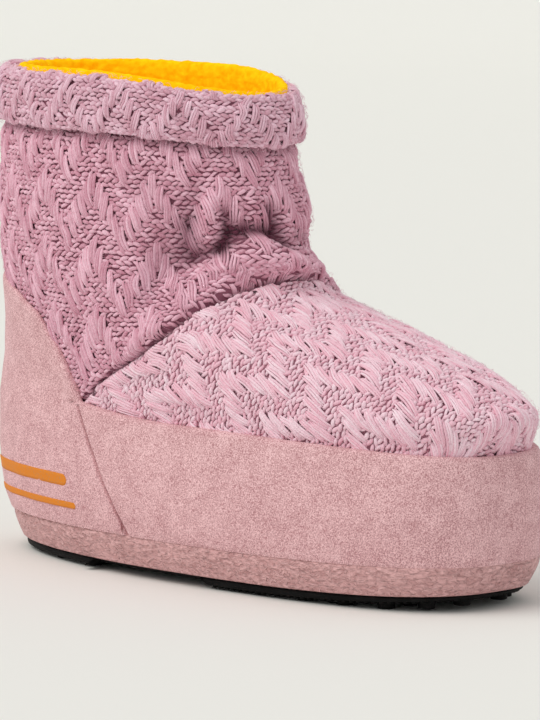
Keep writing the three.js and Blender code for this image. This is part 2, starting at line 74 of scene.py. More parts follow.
# Soft folds of the knit between two points, with a width and a height, at the ankle's bend
FOLDS = np.array([
    [-8, -44, 121, 8, -27, 133, 7, 2.6], [8, -27, 133, 17, -6, 137, 8, 3.4],
    [17, -6, 137, 12, 20, 134, 8, 3], [12, 20, 134, -4, 44, 125, 8, 2.4],
    [-9, -38, 136, 3, -27, 141, 5, -2.6], [3, -27, 141, 8, -18, 150, 5, -3],
    [8, -18, 150, 14, -4, 146, 4.5, -2.4], [14, -4, 146, 10, 18, 141, 5, -2.6],
    [10, 18, 141, -6, 38, 135, 6, -2], [-6, -33, 159, -4, -33, 145, 8, -2],
    [2, -25, 165, 3, -25, 155, 6, 1.6], [-8, -44, 149, -22, -51, 123, 9, -1.8],
    [-34, -51, 149, -38, -53, 117, 14, 1.8], [8, 22, 159, 2, 34, 147, 8, 1.8],
])

# Sharper creases that the slack knit makes over the same folds: pits, hanging swells and hollows
CREASES = np.array([
    [-8, -33, 136, 0, -25, 140, 3.0, -4.4], [0, -25, 140, 2, -23, 147, 2.9, -5.8],
    [3, -23, 148, 9, -11, 148, 2.7, -5.0], [9, -11, 148, 17, 0, 142, 2.7, -5.2],
    [17, 0, 142, 16, 12, 137, 2.9, -3.6], [-1, -24, 142, -1, -24, 145, 3.0, -3.6],
    [17, 2, 141, 17, 3, 140, 2.9, -4.0], [-2, -30, 160, -4, -29, 142, 4.2, 3.6],
    [7, -16, 163, 5, -14, 153, 4.8, 3.6], [12, -4, 156, 12, -4, 150, 4.6, -3.0],
    [4, -25, 162, 3, -24, 152, 3.0, -3.4], [14, -2, 160, 17, 2, 148, 4.0, 2.4],
    [0, -31, 131, 12, -14, 137, 6.0, 2.4], [12, -14, 137, 18, 2, 134, 6.0, 2.6],
    [1, -26, 157, 1, -25, 149, 2.3, -3.2], [6, -18, 162, 6, -17, 156, 2.0, -2.6],
    [10, -7, 158, 13, -3, 150, 2.4, -3.2], [15, -1, 156, 16, 1, 149, 2.0, -2.6],
    [-10, -36, 152, -11, -36, 141, 3.0, -2.2], [-30, -43, 160, -24, -44, 138, 12.0, -1.2],
    [-70, -46, 165, -66, -50, 120, 16.0, 1.2],
])

# Line where vamp and shaft are sewn together, seen from the side: x and z
SEAM = np.array([
    [-61, 70], [-47, 80.5], [-24, 93], [-4, 106.5], [6, 117], [14, 125], [20, 128], [42, 142],
], float)

# Thickness of the suede wrap over the upper at the upper's rings: ring, back, side, front
WRAP = np.array([
    [0, 7.2, 7.2, 6.8], [0.35, 8.8, 8.2, 7.6], [1, 9.4, 8.0, 7.6], [1.55, 8.0, 5.8, 6.2],
    [2, 5.2, 3.6, 3.8], [3, 3.8, 2.8, 2.8], [4, 2.8, 2.4, 2.4], [6, 2.2, 2.2, 2.2],
])
LEVEL_FOOT = 0.4
BUTT_SEAM = {"x": -23.5, "z": 19.6, "slope": 0.675, "slit": 0.5}

# Top edge of the heel counter from the heel's middle to its seam: share, angle, ring
COUNTER_EDGE = np.array([
    [0, 3.142, 5.62], [0.3, 2.66, 5.55], [0.55, 2.32, 5.28], [0.7, 2.14, 4.75], [0.82, 2.07, 3.7],
    [0.92, 2.03, 2.6], [0.96, 2.0, 2.0], [1, 1.9, 1.96],
])

# Foam band and sole
BAND = {"back": -137.2, "front": 141.2, "widest": 4.0, "half": 57.2, "round_back": 2.05,
        "round_front": 2.8}
BAND_TAPER = 4.2
TOE_SPRING = 1.6
SOLE_EDGE = 1.5
UNCUT = (-200.0, 200.0)


def unit(vectors):
    length = np.linalg.norm(vectors, axis=-1, keepdims=True)
    return vectors / np.maximum(length, 1e-9)


def soft_step(x):
    x = np.clip(x, 0, 1)
    return x * x * (3 - 2 * x)


def height(level):
    low = BOARD + level * (INSTEP - BOARD)
    return np.where(level <= 1, low, INSTEP + (level - 1) * (COLLAR - INSTEP))


def smooth(rows, at):
    """Table at fractional rows, along a cubic that never overshoots."""
    at = np.asarray(at, float)
    step = np.diff(rows, axis=0)
    slope = np.zeros_like(rows)
    before, after = step[:-1], step[1:]
    same = before * after > 0
    slope[1:-1] = np.where(same, 2 * before * after / np.where(same, before + after, 1), 0)
    slope[0], slope[-1] = step[0], step[-1]
    i = np.clip(np.floor(at).astype(int), 0, len(rows) - 2)
    u = np.clip(at - i, 0, 1)[..., None]
    start = rows[i] * (1 + 2 * u) * (1 - u) ** 2 + slope[i] * u * (1 - u) ** 2
    return start + rows[i + 1] * u * u * (3 - 2 * u) + slope[i + 1] * u * u * (u - 1)


def corner(angle, round_back, round_front):
    c, s = np.cos(angle), np.sin(angle)
    power = 2 / np.where(c >= 0, round_front, round_back)
    return np.sign(c) * np.abs(c) ** power, np.sign(s) * np.abs(s) ** power


def bare(angle, ring):
    """Upper's outer face without folds. Angle 0 is the toe, and the near side is negative."""
    angle, ring = np.broadcast_arrays(np.asarray(angle, float), np.asarray(ring, float))
    row = np.moveaxis(smooth(UPPER_RINGS, ring), -1, 0)
    back, front, widest, half, level_back, level_side, level_front, round_back, round_front = row
    cx, sy = corner(angle, round_back, round_front)
    widest = widest * HALF_LENGTH
    end = np.where(cx >= 0, front, back) * HALF_LENGTH
    side = height(level_side)
    tip = height(np.where(cx >= 0, level_front, level_back))
    x = widest + np.abs(end - widest) * cx
    return np.stack([x, half * HALF_WIDTH * sy, side + (tip - side) * cx ** 2], axis=-1)


def outward(angle, ring):
    e = 0.002
    around = bare(angle + e, ring) - bare(angle - e, ring)
    up = bare(angle, np.minimum(ring + e, TOP)) - bare(angle, np.maximum(ring - e, 0))
    return unit(np.cross(around, up))


def relief(points):
    """Height of the folds at points of the bare face."""
    rise = np.zeros(points.shape[:-1])
    for fold in np.concatenate([FOLDS, CREASES]):
        start, end, width, tall = fold[0:3], fold[3:6], fold[6], fold[7]
        along = end - start
        share = np.clip(((points - start) @ along) / (along @ along), 0, 1)
        distance = np.linalg.norm(points - start - share[..., None] * along, axis=-1)
        rise += tall * np.exp(-((distance / width) ** 2))
    return rise


def skin(angle, ring, offset):
    """Points off the upper's outer face, folds included."""
    points = bare(angle, ring)
    rise = np.where(np.asarray(ring) > RIM, relief(points), 0)
    return points + outward(angle, ring) * (rise + offset)[..., None]


def table_value(rows, column, at):
    return np.interp(at, rows[:, 0], rows[:, column])


def wrap_point(angle, ring, share):
    """Suede wrap from its inner face (share 0) to its outer face (share 1)."""
    side = table_value(WRAP, 2, ring)
    end = np.where(np.cos(angle) >= 0, table_value(WRAP, 3, ring), table_value(WRAP, 1, ring))
    thickness = side + (end - side) * np.cos(angle) ** 2
    direction = outward(angle, ring)
    direction[..., 2] *= np.minimum(1, ring / LEVEL_FOOT)
    return bare(angle, ring) + unit(direction) * (GAP + (thickness - GAP) * share)[..., None]


def side_distance(points, line):
    """Distance in side view to a line of x and z, positive above and behind it."""
    x, z = points[..., 0:1] - line[:-1, 0], points[..., 2:3] - line[:-1, 1]
    dx, dz = np.diff(line, axis=0).T
    share = np.clip((x * dx + z * dz) / (dx * dx + dz * dz), 0, 1)
    distance = np.hypot(x - share * dx, z - share * dz)
    signed = np.where(dx * z - dz * x > 0, distance, -distance)
    nearest = np.argmin(distance, axis=-1)[..., None]
    return np.take_along_axis(signed, nearest, axis=-1)[..., 0]


SEAM_LINE = smooth(SEAM, np.linspace(0, len(SEAM) - 1, 30))


# Meshes

def grid_faces(rows, columns, closed=False):
    """Faces of a grid of points, its columns joined round if closed."""
    across = columns if closed else columns - 1
    j, i = np.meshgrid(np.arange(rows - 1), np.arange(across), indexing="ij")
    n = (i + 1) % columns
    corners = [j * columns + i, j * columns + n, (j + 1) * columns + n, (j + 1) * columns + i]
    return np.stack(corners, axis=-1).reshape(-1, 4)


def mesh_object(name, points, faces, material, body="root"):
    """Smooth mesh from points in millimetres, riding on the body."""
    mesh = bpy.data.meshes.new(name)
    faces = np.asarray(faces, np.int32)
    mesh.vertices.add(len(points))
    mesh.vertices.foreach_set("co", (np.asarray(points, float) * MM).ravel())
    sides = faces.shape[1]
    mesh.loops.add(faces.size)
    mesh.loops.foreach_set("vertex_index", faces.ravel())
    mesh.polygons.add(len(faces))
    mesh.polygons.foreach_set("loop_start", np.arange(0, faces.size, sides, dtype=np.int32))
    mesh.update(calc_edges=True)
    mesh.validate()
    mesh.shade_smooth()
    mesh.materials.append(material)
    piece = bpy.data.objects.new(name, mesh)
    bpy.context.scene.collection.objects.link(piece)
    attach(piece, body)
    return piece


def number(piece, name, values):
    """Gives each vertex a number that its material reads."""
    attribute = piece.data.attributes.new(name, "FLOAT", "POINT")
    attribute.data.foreach_set("value", np.asarray(values, np.float32).ravel())


def tubes(centres, normals, radii, sides):
    """Many tapered tubes. Centres are tubes by steps by 3, and radii tubes by steps."""
    count, steps = radii.shape
    along = unit(np.gradient(centres, axis=1))
    beside = unit(np.cross(normals, along))
    up = np.cross(along, beside)
    turn = np.linspace(0, 2 * math.pi, sides, endpoint=False)
    ring = np.cos(turn)[:, None] * beside[:, :, None] + np.sin(turn)[:, None] * up[:, :, None]
    points = centres[:, :, None] + ring * radii[:, :, None, None]
    one = grid_faces(steps, sides, closed=True)
    faces = one[None] + (np.arange(count) * steps * sides)[:, None, None]
    return points.reshape(-1, 3), faces.reshape(-1, 4)


# Knit charts: half a panel as a table of points, which the stitches are laid on

class Chart:
    """Rows run down the wales, columns away from the centre line over the near half."""

    def __init__(self, points, step_down, step_across):
        self.points = points
        self.steps = (step_down, step_across)
        normals = np.cross(np.gradient(points, axis=1), np.gradient(points, axis=0))
        self.normals = unit(normals)

    def reach(self):
        rows, columns = self.points.shape[:2]
        return (rows - 1) * self.steps[0], (columns - 1) * self.steps[1]

    def at(self, across, down):
        """Points and normals. Negative across is the near half, positive the far one."""
        j = np.clip(down / self.steps[0], 0, self.points.shape[0] - 1.001)
        i = np.clip(np.abs(across) / self.steps[1], 0, self.points.shape[1] - 1.001)
        j0, i0 = j.astype(int), i.astype(int)
        v, u = (j - j0)[..., None], (i - i0)[..., None]
        found = []
        for values in (self.points, self.normals):
            low = values[j0, i0] * (1 - u) + values[j0, i0 + 1] * u
            high = values[j0 + 1, i0] * (1 - u) + values[j0 + 1, i0 + 1] * u
            found.append(low * (1 - v) + high * v)
        mirror = np.where(across > 0, -1.0, 1.0)
        for values in found:
            values[..., 1] *= mirror
        return found[0], unit(found[1])


def bare_tree():
    """Search tree of the bare outer face."""
    angles = np.linspace(-math.pi, 0, 181)
    rings = np.linspace(0, TOP, 181)
    points = bare(angles[None, :], rings[:, None]).reshape(-1, 3)
    return BVHTree.FromPolygons(points.tolist(), grid_faces(181, 181).tolist())


def section(tree, origin, directions):
    """Where lines from an origin meet the upper's near half."""
    hits = []
    for direction in directions:
        hit = tree.ray_cast(Vector(origin), Vector(direction))[0]
        if hit is None:
            hit = hits[-1] if hits else origin
        hits.append(tuple(hit))
    return np.array(hits)


def arc_lengths(points):
    steps = np.linalg.norm(np.diff(points, axis=0), axis=1)
    return np.concatenate([[0], np.cumsum(steps)])


def resample(points, lengths, wanted):
    return np.stack([np.interp(wanted, lengths, points[:, k]) for k in range(3)], axis=-1)


def even_columns(rows, step, count):
    """The same columns with even steps down each."""
    columns = []
    for column in np.array(rows).transpose(1, 0, 2):
        columns.append(resample(column, arc_lengths(column), step * np.arange(count)))
    return np.array(columns).transpose(1, 0, 2)


KNIT_PERIOD = 28.57
AROUND = 7 * KNIT_PERIOD
SHAFT_TOP = 196.0
SHAFT_FOOT = 56.0
SHAFT_AXIS = -72.0
SEAM_FRONT_HEIGHT = 129.0


def shaft_chart(tree):
    """Level sections of the shaft. Below its front end the columns keep their spacing."""
    turn = np.linspace(math.pi, 0.0, 200)
    directions = np.stack([np.cos(turn), -np.abs(np.sin(turn)) - 1e-4, np.zeros_like(turn)], axis=-1)
    step = 2.0
    heights = np.arange(SHAFT_TOP, SHAFT_FOOT - 1, -step)
    columns = 101
    rows = []
    half_way = None
    for z in heights:
        points = section(tree, (SHAFT_AXIS, 0, z), directions)
        lengths = arc_lengths(points)
        if z >= SEAM_FRONT_HEIGHT or half_way is None:
            half_way = lengths[-1]
        rows.append(resample(points, lengths, half_way * np.linspace(1, 0, columns)))
    return Chart(even_columns(rows, step, len(rows)), step, AROUND / (columns - 1))


VAMP_TILT = math.radians(21)
VAMP_TOE_TILT = math.radians(49)
VAMP_START = -104.0
VAMP_PIVOT = np.array([60.0, 0.0, -20.0])
VAMP_AXIS_HEIGHT = 45.0
INSTEP_PLANE = -27.0
TOE_RADIUS = 125.0


def vamp_planes(step):
    """Point and upward direction of each section, fanned out over the toes."""
    planes = []
    along = np.array([math.cos(VAMP_TILT), 0, -math.sin(VAMP_TILT)])
    fan_start = float(VAMP_PIVOT @ along)
    tilts = np.arange(VAMP_TILT, VAMP_TOE_TILT, step / TOE_RADIUS / 2)
    for a in np.arange(fan_start - step, VAMP_START, -step)[::-1]:
        planes.append((VAMP_PIVOT + (a - fan_start) * along, VAMP_TILT, a))
    planes += [(VAMP_PIVOT, tilt, fan_start) for tilt in tilts]
    placed = []
    for point, tilt, a in planes:
        up = np.array([math.sin(tilt), 0, math.cos(tilt)])
        placed.append((point + up * (VAMP_AXIS_HEIGHT - point[2]) / math.cos(tilt), up, a))
    return placed


def vamp_chart(tree):
    """Sections across the vamp, from behind the seam's low end to the toe."""
    turn = np.radians(np.concatenate([np.arange(-60, 0, 1.0), np.arange(0, 90.1, 0.75)]))
    level = 60
    step = 2.0
    wanted = np.arange(0, 120.1, 1.5)
    rows = []
    across_at_instep = None
    for origin, up, a in vamp_planes(step)[::-1]:
        directions = np.sin(turn)[:, None] * up + np.cos(turn)[:, None] * np.array([0, -1, 0])
        directions[-1] += np.array([0, -1e-4, 0])
        points = section(tree, origin, directions)
        lengths = arc_lengths(points)
        if a >= INSTEP_PLANE or across_at_instep is None:
            across_at_instep = lengths[-1] - lengths[level]
        across = across_at_instep + lengths[level] - lengths
        rows.append(resample(points[::-1], across[::-1], wanted))
    rows = np.array(rows[::-1])
    fan = sum(a < INSTEP_PLANE for _, _, a in vamp_planes(step))
    toe = even_columns(rows[fan:], step, len(rows) - fan)
    return Chart(np.concatenate([rows[:fan], toe]), step, 1.5)


# Sections over the collar edge: the ring they stand off, their distance from the upper's face, and
# their rise above the collar edge. The knit turns down outside, and the fleece comes up from inside.
CUFF_SECTION = np.array([
    [12, -2.2, 3.4], [12, -0.6, 4.1], [12, 1.2, 3.9], [12, 2.8, 2.4], [12, 3.9, -0.4], [11.6, 4.2, 0.0],
    [11.15, 4.2, 0.0], [10.9, 4.0, 0.0], [10.7, 3.6, 0.0], [10.54, 2.7, 0.0], [10.46, 1.3, 0.0],
    [10.46, -0.2, 0.0], [10.54, -1.8, 0.0],
])
LINING_SECTION = np.array([
    [12, -1.4, 2.6], [12, -1.9, 4.2], [12, -3.1, 5.1], [12, -4.9, 4.5], [12, -6.0, 2.2],
    [12, -6.3, -0.9], [11.7, -6.3, 0.0],
])
CUFF_ROWS = 46
CUFF_FOOT = 10.42
# Ring above which a strip follows the collar edge
EDGE_RING = 11.6
HEEL_ROLL = 8.0
HEEL_RISE = 0.5
# The near side's knit lies lower over the edge, and the fleece shows above it
NEAR_DIP = 1.1


def collar_strips(angles, rows, detail):
    """Smooth strips over the collar edge: angles by steps by 3."""
    fine = smooth(rows, np.linspace(0, len(rows) - 1, detail))
    ring, offset, rise = (np.broadcast_to(fine[:, k], (len(angles), detail)) for k in range(3))
    around = np.broadcast_to(angles[:, None], ring.shape)
    on_edge = soft_step((ring - EDGE_RING) / (TOP - EDGE_RING))
    heel = soft_step((-np.cos(around) - 0.5) / 0.5)
    near = soft_step((-np.sin(around) - 0.1) / 0.5) * (1 - heel)
    knit = soft_step((offset + 2.6) / 1.2)
    rise = rise + (HEEL_RISE * heel - NEAR_DIP * near * on_edge) * knit
    offset = offset - HEEL_ROLL * heel * on_edge * soft_step((3.0 - offset) / 4.0)
    strips = skin(around, ring, offset)
    over_edge = bare(around, ring)[..., 2] + rise
    strips[..., 2] = strips[..., 2] * (1 - on_edge) + over_edge * on_edge
    return strips


def cuff_chart():
    """Sections of the cuff at even steps round the collar."""
    angles = np.linspace(0, -math.pi, 400)
    edge = arc_lengths(bare(angles, 11.0))
    columns = 101
    angles = np.interp(np.linspace(0, edge[-1], columns), edge, angles)
    strips = collar_strips(angles, CUFF_SECTION, 60)
    lengths = [arc_lengths(strip) for strip in strips]
    even = []
    for strip, down in zip(strips, lengths):
        even.append(resample(strip, down, np.linspace(0, down[-1], CUFF_ROWS)))
    step = float(np.mean([down[-1] for down in lengths])) / (CUFF_ROWS - 1)
    return Chart(np.array(even).transpose(1, 0, 2), step, AROUND / (columns - 1))


# Knit stitches: raised bundles of strands on a zigzag, over rows of short purl loops

STEPS_PER_ARM = 5
# Length and greatest width of a bundle
SHAFT_BUNDLE = (12.2, 3.5)
VAMP_BUNDLE = (14.8, 3.9)
CUFF_BUNDLE = (9.8, 3.0)
NARROWEST = 2.7
BUNDLE_DROP = 4.5
STRANDS = np.array([-1.0, 0.0, 1.0])
STRAND_THICKNESS = 0.58
STRAND_FOOT = -1.1
STRAND_RISE = 1.6
BUNDLE_STEPS = 9
BUNDLE_SIDES = 5
PURL_ROW = 2.05
PURL_LENGTH = 3.48
PURL_RADIUS = 0.96
PURL_FOOT = -1.35
PURL_RISE = 0.55
PURL_STEPS = 5
PURL_SIDES = 5
# Lean of the bundles in degrees, from a valley up its left arm, over the apex and down the right arm
SHAFT_LEANS = [19, 18, 17, 15, 12, -7, -10, -4, 3, 9]
VAMP_LEANS = [4, 5, 4, 3, 2, -4, -6, -4, -2, 0]
# The vamp's knit is turned outwards on each half, about a point on the centre line
VAMP_TURN = math.radians(15)
VAMP_TURN_AT = 70.0


def zigzag_bundles(width, length, leans, long, wide):
    """Across, down, lean, width and length of the bundles, side by side on zigzag lines."""
    rows = []
    step = KNIT_PERIOD / (2 * STEPS_PER_ARM)
    columns = math.ceil(width / KNIT_PERIOD)
    for column in range(-columns, columns + 1):
        for row in range(-4, math.ceil(length / KNIT_PERIOD) + 4):
            for k in range(-STEPS_PER_ARM, STEPS_PER_ARM):
                down = row * KNIT_PERIOD + BUNDLE_DROP * (abs(k) + 0.5)
                lean = math.radians(leans[k + STEPS_PER_ARM])
                side = -1 if k < 0 else 1
                apart = step * math.cos(lean) - side * BUNDLE_DROP * math.sin(lean)
                broad = min(max(apart, NARROWEST), wide)
                rows.append([column * KNIT_PERIOD + step * k, down, lean, broad, long])
    return np.array(rows)


def turned_halves(rows):
    """The pattern turned outwards on the near half, and mirrored on the far half."""
    c, s = math.cos(VAMP_TURN), math.sin(VAMP_TURN)
    across, down = rows[:, 0], rows[:, 1] - VAMP_TURN_AT
    near = rows.copy()
    near[:, 0] = across * c - down * s
    near[:, 1] = VAMP_TURN_AT + across * s + down * c
    near[:, 2] -= VAMP_TURN
    near = near[near[:, 0] < -1.0]
    return np.concatenate([near, near * [-1, 1, -1, 1, 1]])


def bundles_within(rows, width, length):
    return rows[(np.abs(rows[:, 0]) <= width) & (rows[:, 1] > -4) & (rows[:, 1] < length + 4)]


def under_bundle(across, down, centres):
    """Whether a bundle's middle covers each place."""
    covered = np.zeros(across.shape, bool)
    for centre_across, centre_down, lean, _, long in centres:
        du, dv = across - centre_across, down - centre_down
        along = du * math.sin(lean) + dv * math.cos(lean)
        beside = du * math.cos(lean) - dv * math.sin(lean)
        covered |= (np.abs(along) < long / 2 - 3.0) & (np.abs(beside) < 0.9)
    return covered


def lay_yarn(chart, sink, across, down, lift, radius, sides, shade, top=np.inf):
    """Tubes laid on a chart at a lift, none higher than top, with their shades and depths."""
    surface, normal = chart.at(across, down)
    depth = relief(surface) + sink(surface)
    middle = surface + normal * (lift + depth)[..., None]
    middle[..., 2] = np.minimum(middle[..., 2], top)
    steps = across.shape[-1]
    middle, normal = (values.reshape(-1, steps, 3) for values in (middle, normal))
    points, faces = tubes(middle, normal, radius.reshape(-1, steps), sides)
    return points, faces, np.repeat(shade, steps * sides), np.repeat(depth.ravel(), sides)


def knit_strands(chart, keep, sink, centres):
    """Raised bundles of strands, thick in the middle and pulled in at their ends."""
    points, _ = chart.at(centres[:, 0], centres[:, 1])
    centres = centres[keep(points)]
    count = len(centres)
    shape = (count, len(STRANDS), 1)
    jitter = chance.normal(0, 1, (5, count, 1, 1))
    t = np.linspace(-1, 1, BUNDLE_STEPS)[None, None, :]
    strand = STRANDS[None, :, None]
    middle_across, middle_down, lean, pitch, long = centres.T[:, :, None, None]
    lean = lean + jitter[0] * 0.06
    half = long / 2 * (1 + 0.06 * jitter[1])
    along = t * (half + 0.4 * chance.normal(0, 1, shape))
    pitch = pitch * 0.36
    spread = pitch * (0.74 + 0.26 * np.cos(t * math.pi / 2))
    beside = strand * spread + 0.25 * np.cos(t * math.pi) * jitter[2]
    across = middle_across + 0.2 * jitter[3] + beside * np.cos(lean) + along * np.sin(lean)
    down = middle_down + 0.25 * jitter[4] + along * np.cos(lean) - beside * np.sin(lean)
    crown = 1 - 0.1 * strand ** 2 + 0.07 * chance.normal(0, 1, shape)
    lift = STRAND_FOOT + STRAND_RISE * crown * (1 - np.abs(t) ** 4)
    uneven = 1 + 0.08 * chance.normal(0, 1, shape)
    radius = STRAND_THICKNESS * pitch * (1 - 0.5 * np.abs(t) ** 4) * uneven
    shade = chance.uniform(0, 1, count * len(STRANDS))
    return lay_yarn(chart, sink, across, down, lift, radius, BUNDLE_SIDES, shade)


def knit_loops(chart, keep, sink, centres):
    """Short purl loops in offset rows that slant by turns, clear of the bundles."""
    length, width = chart.reach()
    across, down = np.meshgrid(np.arange(-width, width, PURL_LENGTH), np.arange(0, length, PURL_ROW))
    odd = np.indices(across.shape)[0] % 2
    slant = 1.0 - 2.0 * odd
    across = across + PURL_LENGTH / 2 * odd
    points, _ = chart.at(across, down)
    kept = keep(points) & ~under_bundle(across, down, centres) & (np.abs(across) <= width)
    across, down, slant = (values[kept][:, None] for values in (across, down, slant))
    count = len(across)
    t = np.linspace(-1, 1, PURL_STEPS)[None, :]
    across = across + 0.2 * chance.normal(0, 1, (count, 1)) + t * PURL_LENGTH * 0.6
    tilt = slant * (0.55 + 0.3 * chance.normal(0, 1, (count, 1)))
    down = down + 0.15 * chance.normal(0, 1, (count, 1)) - tilt * np.sin(t * math.pi / 2)
    lift = PURL_FOOT + PURL_RISE * (1 - t ** 2) + 0.12 * chance.normal(0, 1, (count, 1))
    radius = PURL_RADIUS * np.sqrt(1.06 - t ** 2) * (1 + 0.14 * chance.normal(0, 1, (count, 1)))
    return lay_yarn(chart, sink, across, down, lift, radius, PURL_SIDES, chance.uniform(0, 1, count))


FUZZ_STEPS = 4
FUZZ_SIDES = 3
FUZZ_RADIUS = 0.075
FUZZ_PER_AREA = 0.085
FUZZ_TOP = 213.6


def knit_fuzz(chart, keep, sink, centres):
    """Stray hair-thin fibres, bent and leaning every way."""
    length, width = chart.reach()
    count = round(2 * width * length * FUZZ_PER_AREA)
    across = chance.uniform(-width, width, count)
    down = chance.uniform(0, length, count)
    points, _ = chart.at(across, down)
    kept = keep(points)
    across, down = across[kept][:, None], down[kept][:, None]
    count = len(across)
    t = np.linspace(0, 1, FUZZ_STEPS)[None, :]
    heading = chance.uniform(-math.pi, math.pi, (count, 1)) + chance.normal(0, 1.0, (count, 1)) * t
    reach = chance.uniform(1.5, 4.5, (count, 1))
    across = across + reach * t * np.cos(heading)
    down = down + reach * t * np.sin(heading)
    lift = 0.5 + chance.uniform(0.5, 1.5, (count, 1)) * np.sin(t * 2.6)
    radius = FUZZ_RADIUS * (1 - 0.5 * t) * np.ones((count, 1))
    shade = chance.uniform(0.5, 1, count)
    return lay_yarn(chart, sink, across, down, lift, radius, FUZZ_SIDES, shade, top=FUZZ_TOP)


# Height of the backing sheet, and the lowest it goes in a groove
GROUND = -1.4
DEEPEST_GROUND = -5.0


def knit_ground(chart, keep, sink, spacing=2.0):
    """Backing sheet under the stitches, dark with painted shade in its material."""
    length, width = chart.reach()
    across = np.linspace(-width, width, round(2 * width / spacing) + 1)
    down = np.linspace(0, length, round(length / spacing) + 1)
    surface, normal = chart.at(*np.meshgrid(across, down))
    kept = keep(surface).ravel()
    below = np.maximum(sink(surface) + GROUND, DEEPEST_GROUND)
    points = surface + normal * (relief(surface) + below)[..., None]
    faces = grid_faces(len(down), len(across))
    faces = faces[kept[faces].all(axis=1)]
    return points.reshape(-1, 3), faces[:, ::-1]


# Depth of a sunk place, in millimetres, where the painted shade on its knit is darkest
DARKEST = 6.0


def knit_panel(name, chart, keep, sink, bundles, colours):
    """Backing, loops, bundles and stray fibres of one knit panel."""
    yarn, ground = colours
    length, width = chart.reach()
    centres = bundles_within(bundles(width, length), width, length)
    backing = mesh_object(name + "_backing", *knit_ground(chart, keep, sink), ground)
    pieces = [backing]
    for part, make in (("loops", knit_loops), ("cables", knit_strands), ("fuzz", knit_fuzz)):
        points, faces, shade, depth = make(chart, keep, sink, centres)
        piece = mesh_object(f"{name}_{part}", points, faces, yarn)
        number(piece, "strand", shade)
        # Painted shade: how far each stretch of yarn is sunk into a crease or groove, which darkens its
        # colour
        number(piece, "painted_shade", np.clip(-depth / DARKEST, 0, 1))
        pieces.append(piece)
    return pieces


# Materials

def linear(hex_colour, share=1.0):
    """sRGB hex to linear RGBA, dimmed to that share."""
    parts = [int(hex_colour[k:k + 2], 16) / 255 for k in (1, 3, 5)]
    bright = [p / 12.92 if p <= 0.04045 else ((p + 0.055) / 1.055) ** 2.4 for p in parts]
    return (*[share * p for p in bright], 1.0)


def live_socket(node, name):
    """The input of that name in use, where a node has one for each kind of data."""
    return [socket for socket in node.inputs if socket.name == name and socket.enabled][0]


def add(tree, kind, inputs=None, **settings):
    """Shader node with its settings, its inputs given values or links."""
    node = tree.nodes.new("ShaderNode" + kind)
    for name, value in settings.items():
        setattr(node, name, value)
    for name, value in (inputs or {}).items():
        socket = node.inputs[name] if isinstance(name, int) else live_socket(node, name)
        if isinstance(value, bpy.types.NodeSocket):
            tree.links.new(value, socket)
        else:
            socket.default_value = value
    return node


def blank(name):
    """Empty material with its shader and the object's coordinates."""
    material = bpy.data.materials.new(name)
    material.use_nodes = True
    tree = material.node_tree
    tree.nodes.clear()
    shader = add(tree, "BsdfPrincipled")
    add(tree, "OutputMaterial", {"Surface": shader.outputs["BSDF"]})
    place = add(tree, "TexCoord").outputs["Object"]
    return material, tree, shader, place


def per_metre(size):
    """Texture scale for a feature of that size in millimetres."""
    return 1000.0 / size


def noise(tree, place, size, detail=2.0, roughness=0.5, distortion=0.0, flat=None):
    """Noise with features of that size in millimetres, and flattened so many times."""
    if flat:
        place = add(tree, "Mapping", {"Vector": place, "Scale": (1.0, 1.0, flat)}).outputs[0]
    inputs = {"Vector": place, "Scale": per_metre(size), "Detail": detail, "Roughness": roughness,
              "Distortion": distortion}
    return add(tree, "TexNoise", inputs).outputs["Fac"]


def mixed(tree, share, first, second):
    """Mean of two numbers, with that share of the second."""
    return add(tree, "Mix", {0: share, 2: first, 3: second}, data_type="FLOAT").outputs[0]


def maths(tree, operation, first, second):
    return add(tree, "Math", {0: first, 1: second}, operation=operation).outputs[0]


def two_tones(tree, value, low, dark, high, light, dim=1.0):
    """Colour from dark, dimmed to a share, at a low value to light at a high one."""
    ramp = add(tree, "ValToRGB", {"Fac": value})
    tones = ((low, linear(dark, dim)), (high, linear(light)))
    for element, (position, colour) in zip(ramp.color_ramp.elements, tones):
        element.position = position
        element.color = colour
    return ramp.outputs["Color"]


def finish(tree, shader, colour=None, bump=None, **values):
    """Colour, bump and numbers of a shader. A bump is its height, strength and depth in metres."""
    if colour:
        tree.links.new(colour, shader.inputs["Base Color"])
    if bump:
        height_map = add(tree, "Bump", dict(zip(("Height", "Strength", "Distance"), bump)))
        tree.links.new(height_map.outputs["Normal"], shader.inputs["Normal"])
    for name, value in values.items():
        shader.inputs[name.replace("_", " ")].default_value = value


def wool_yarn(name, dark, light, painted_shade_colour="#7c4257"):
    """Brushed acrylic yarn: matt, softly sheened, its colour drifting from strand to strand, and mixed
    towards a dark colour as painted shade where the knit is sunk into creases and seam grooves.
    """
    material, tree, shader, place = blank(name)
    strand = add(tree, "Attribute", attribute_name="strand").outputs["Fac"]
    drift = maths(tree, "ADD", strand, noise(tree, place, 9, 3.0))
    share = maths(tree, "ADD", drift, noise(tree, place, 0.9, 4.0))
    tone = two_tones(tree, maths(tree, "DIVIDE", share, 3.0), 0.2, dark, 0.74, light)
    painted_shade = add(tree, "Attribute", attribute_name="painted_shade").outputs["Fac"]
    # Painted shade: the colour is mixed towards the dark one by how far the yarn is sunk
    shaded = add(tree, "Mix", {"Factor": painted_shade, "A": tone, "B": linear(painted_shade_colour)}, data_type="RGBA")
    finish(tree, shader, shaded.outputs[2], (noise(tree, place, 0.7, 3.0), 0.7, 0.0006), Roughness=0.95,
           Sheen_Weight=0.25, Sheen_Roughness=0.5, Specular_IOR_Level=0.2)
    return material


def patterned(name, tones, patches, fine=None, share=0.0, bump=None, dim=1.0, **values):
    """Two tones that follow patches of noise, mixed with a share of a finer one, over a bump."""
    material, tree, shader, place = blank(name)
    value = noise(tree, place, *patches)
    if fine:
        value = mixed(tree, share, value, noise(tree, place, *fine))
    if bump:
        grain, strength, depth = bump
        bump = noise(tree, place, *grain), strength, depth
    finish(tree, shader, two_tones(tree, value, *tones, dim), bump, **values)
    return material


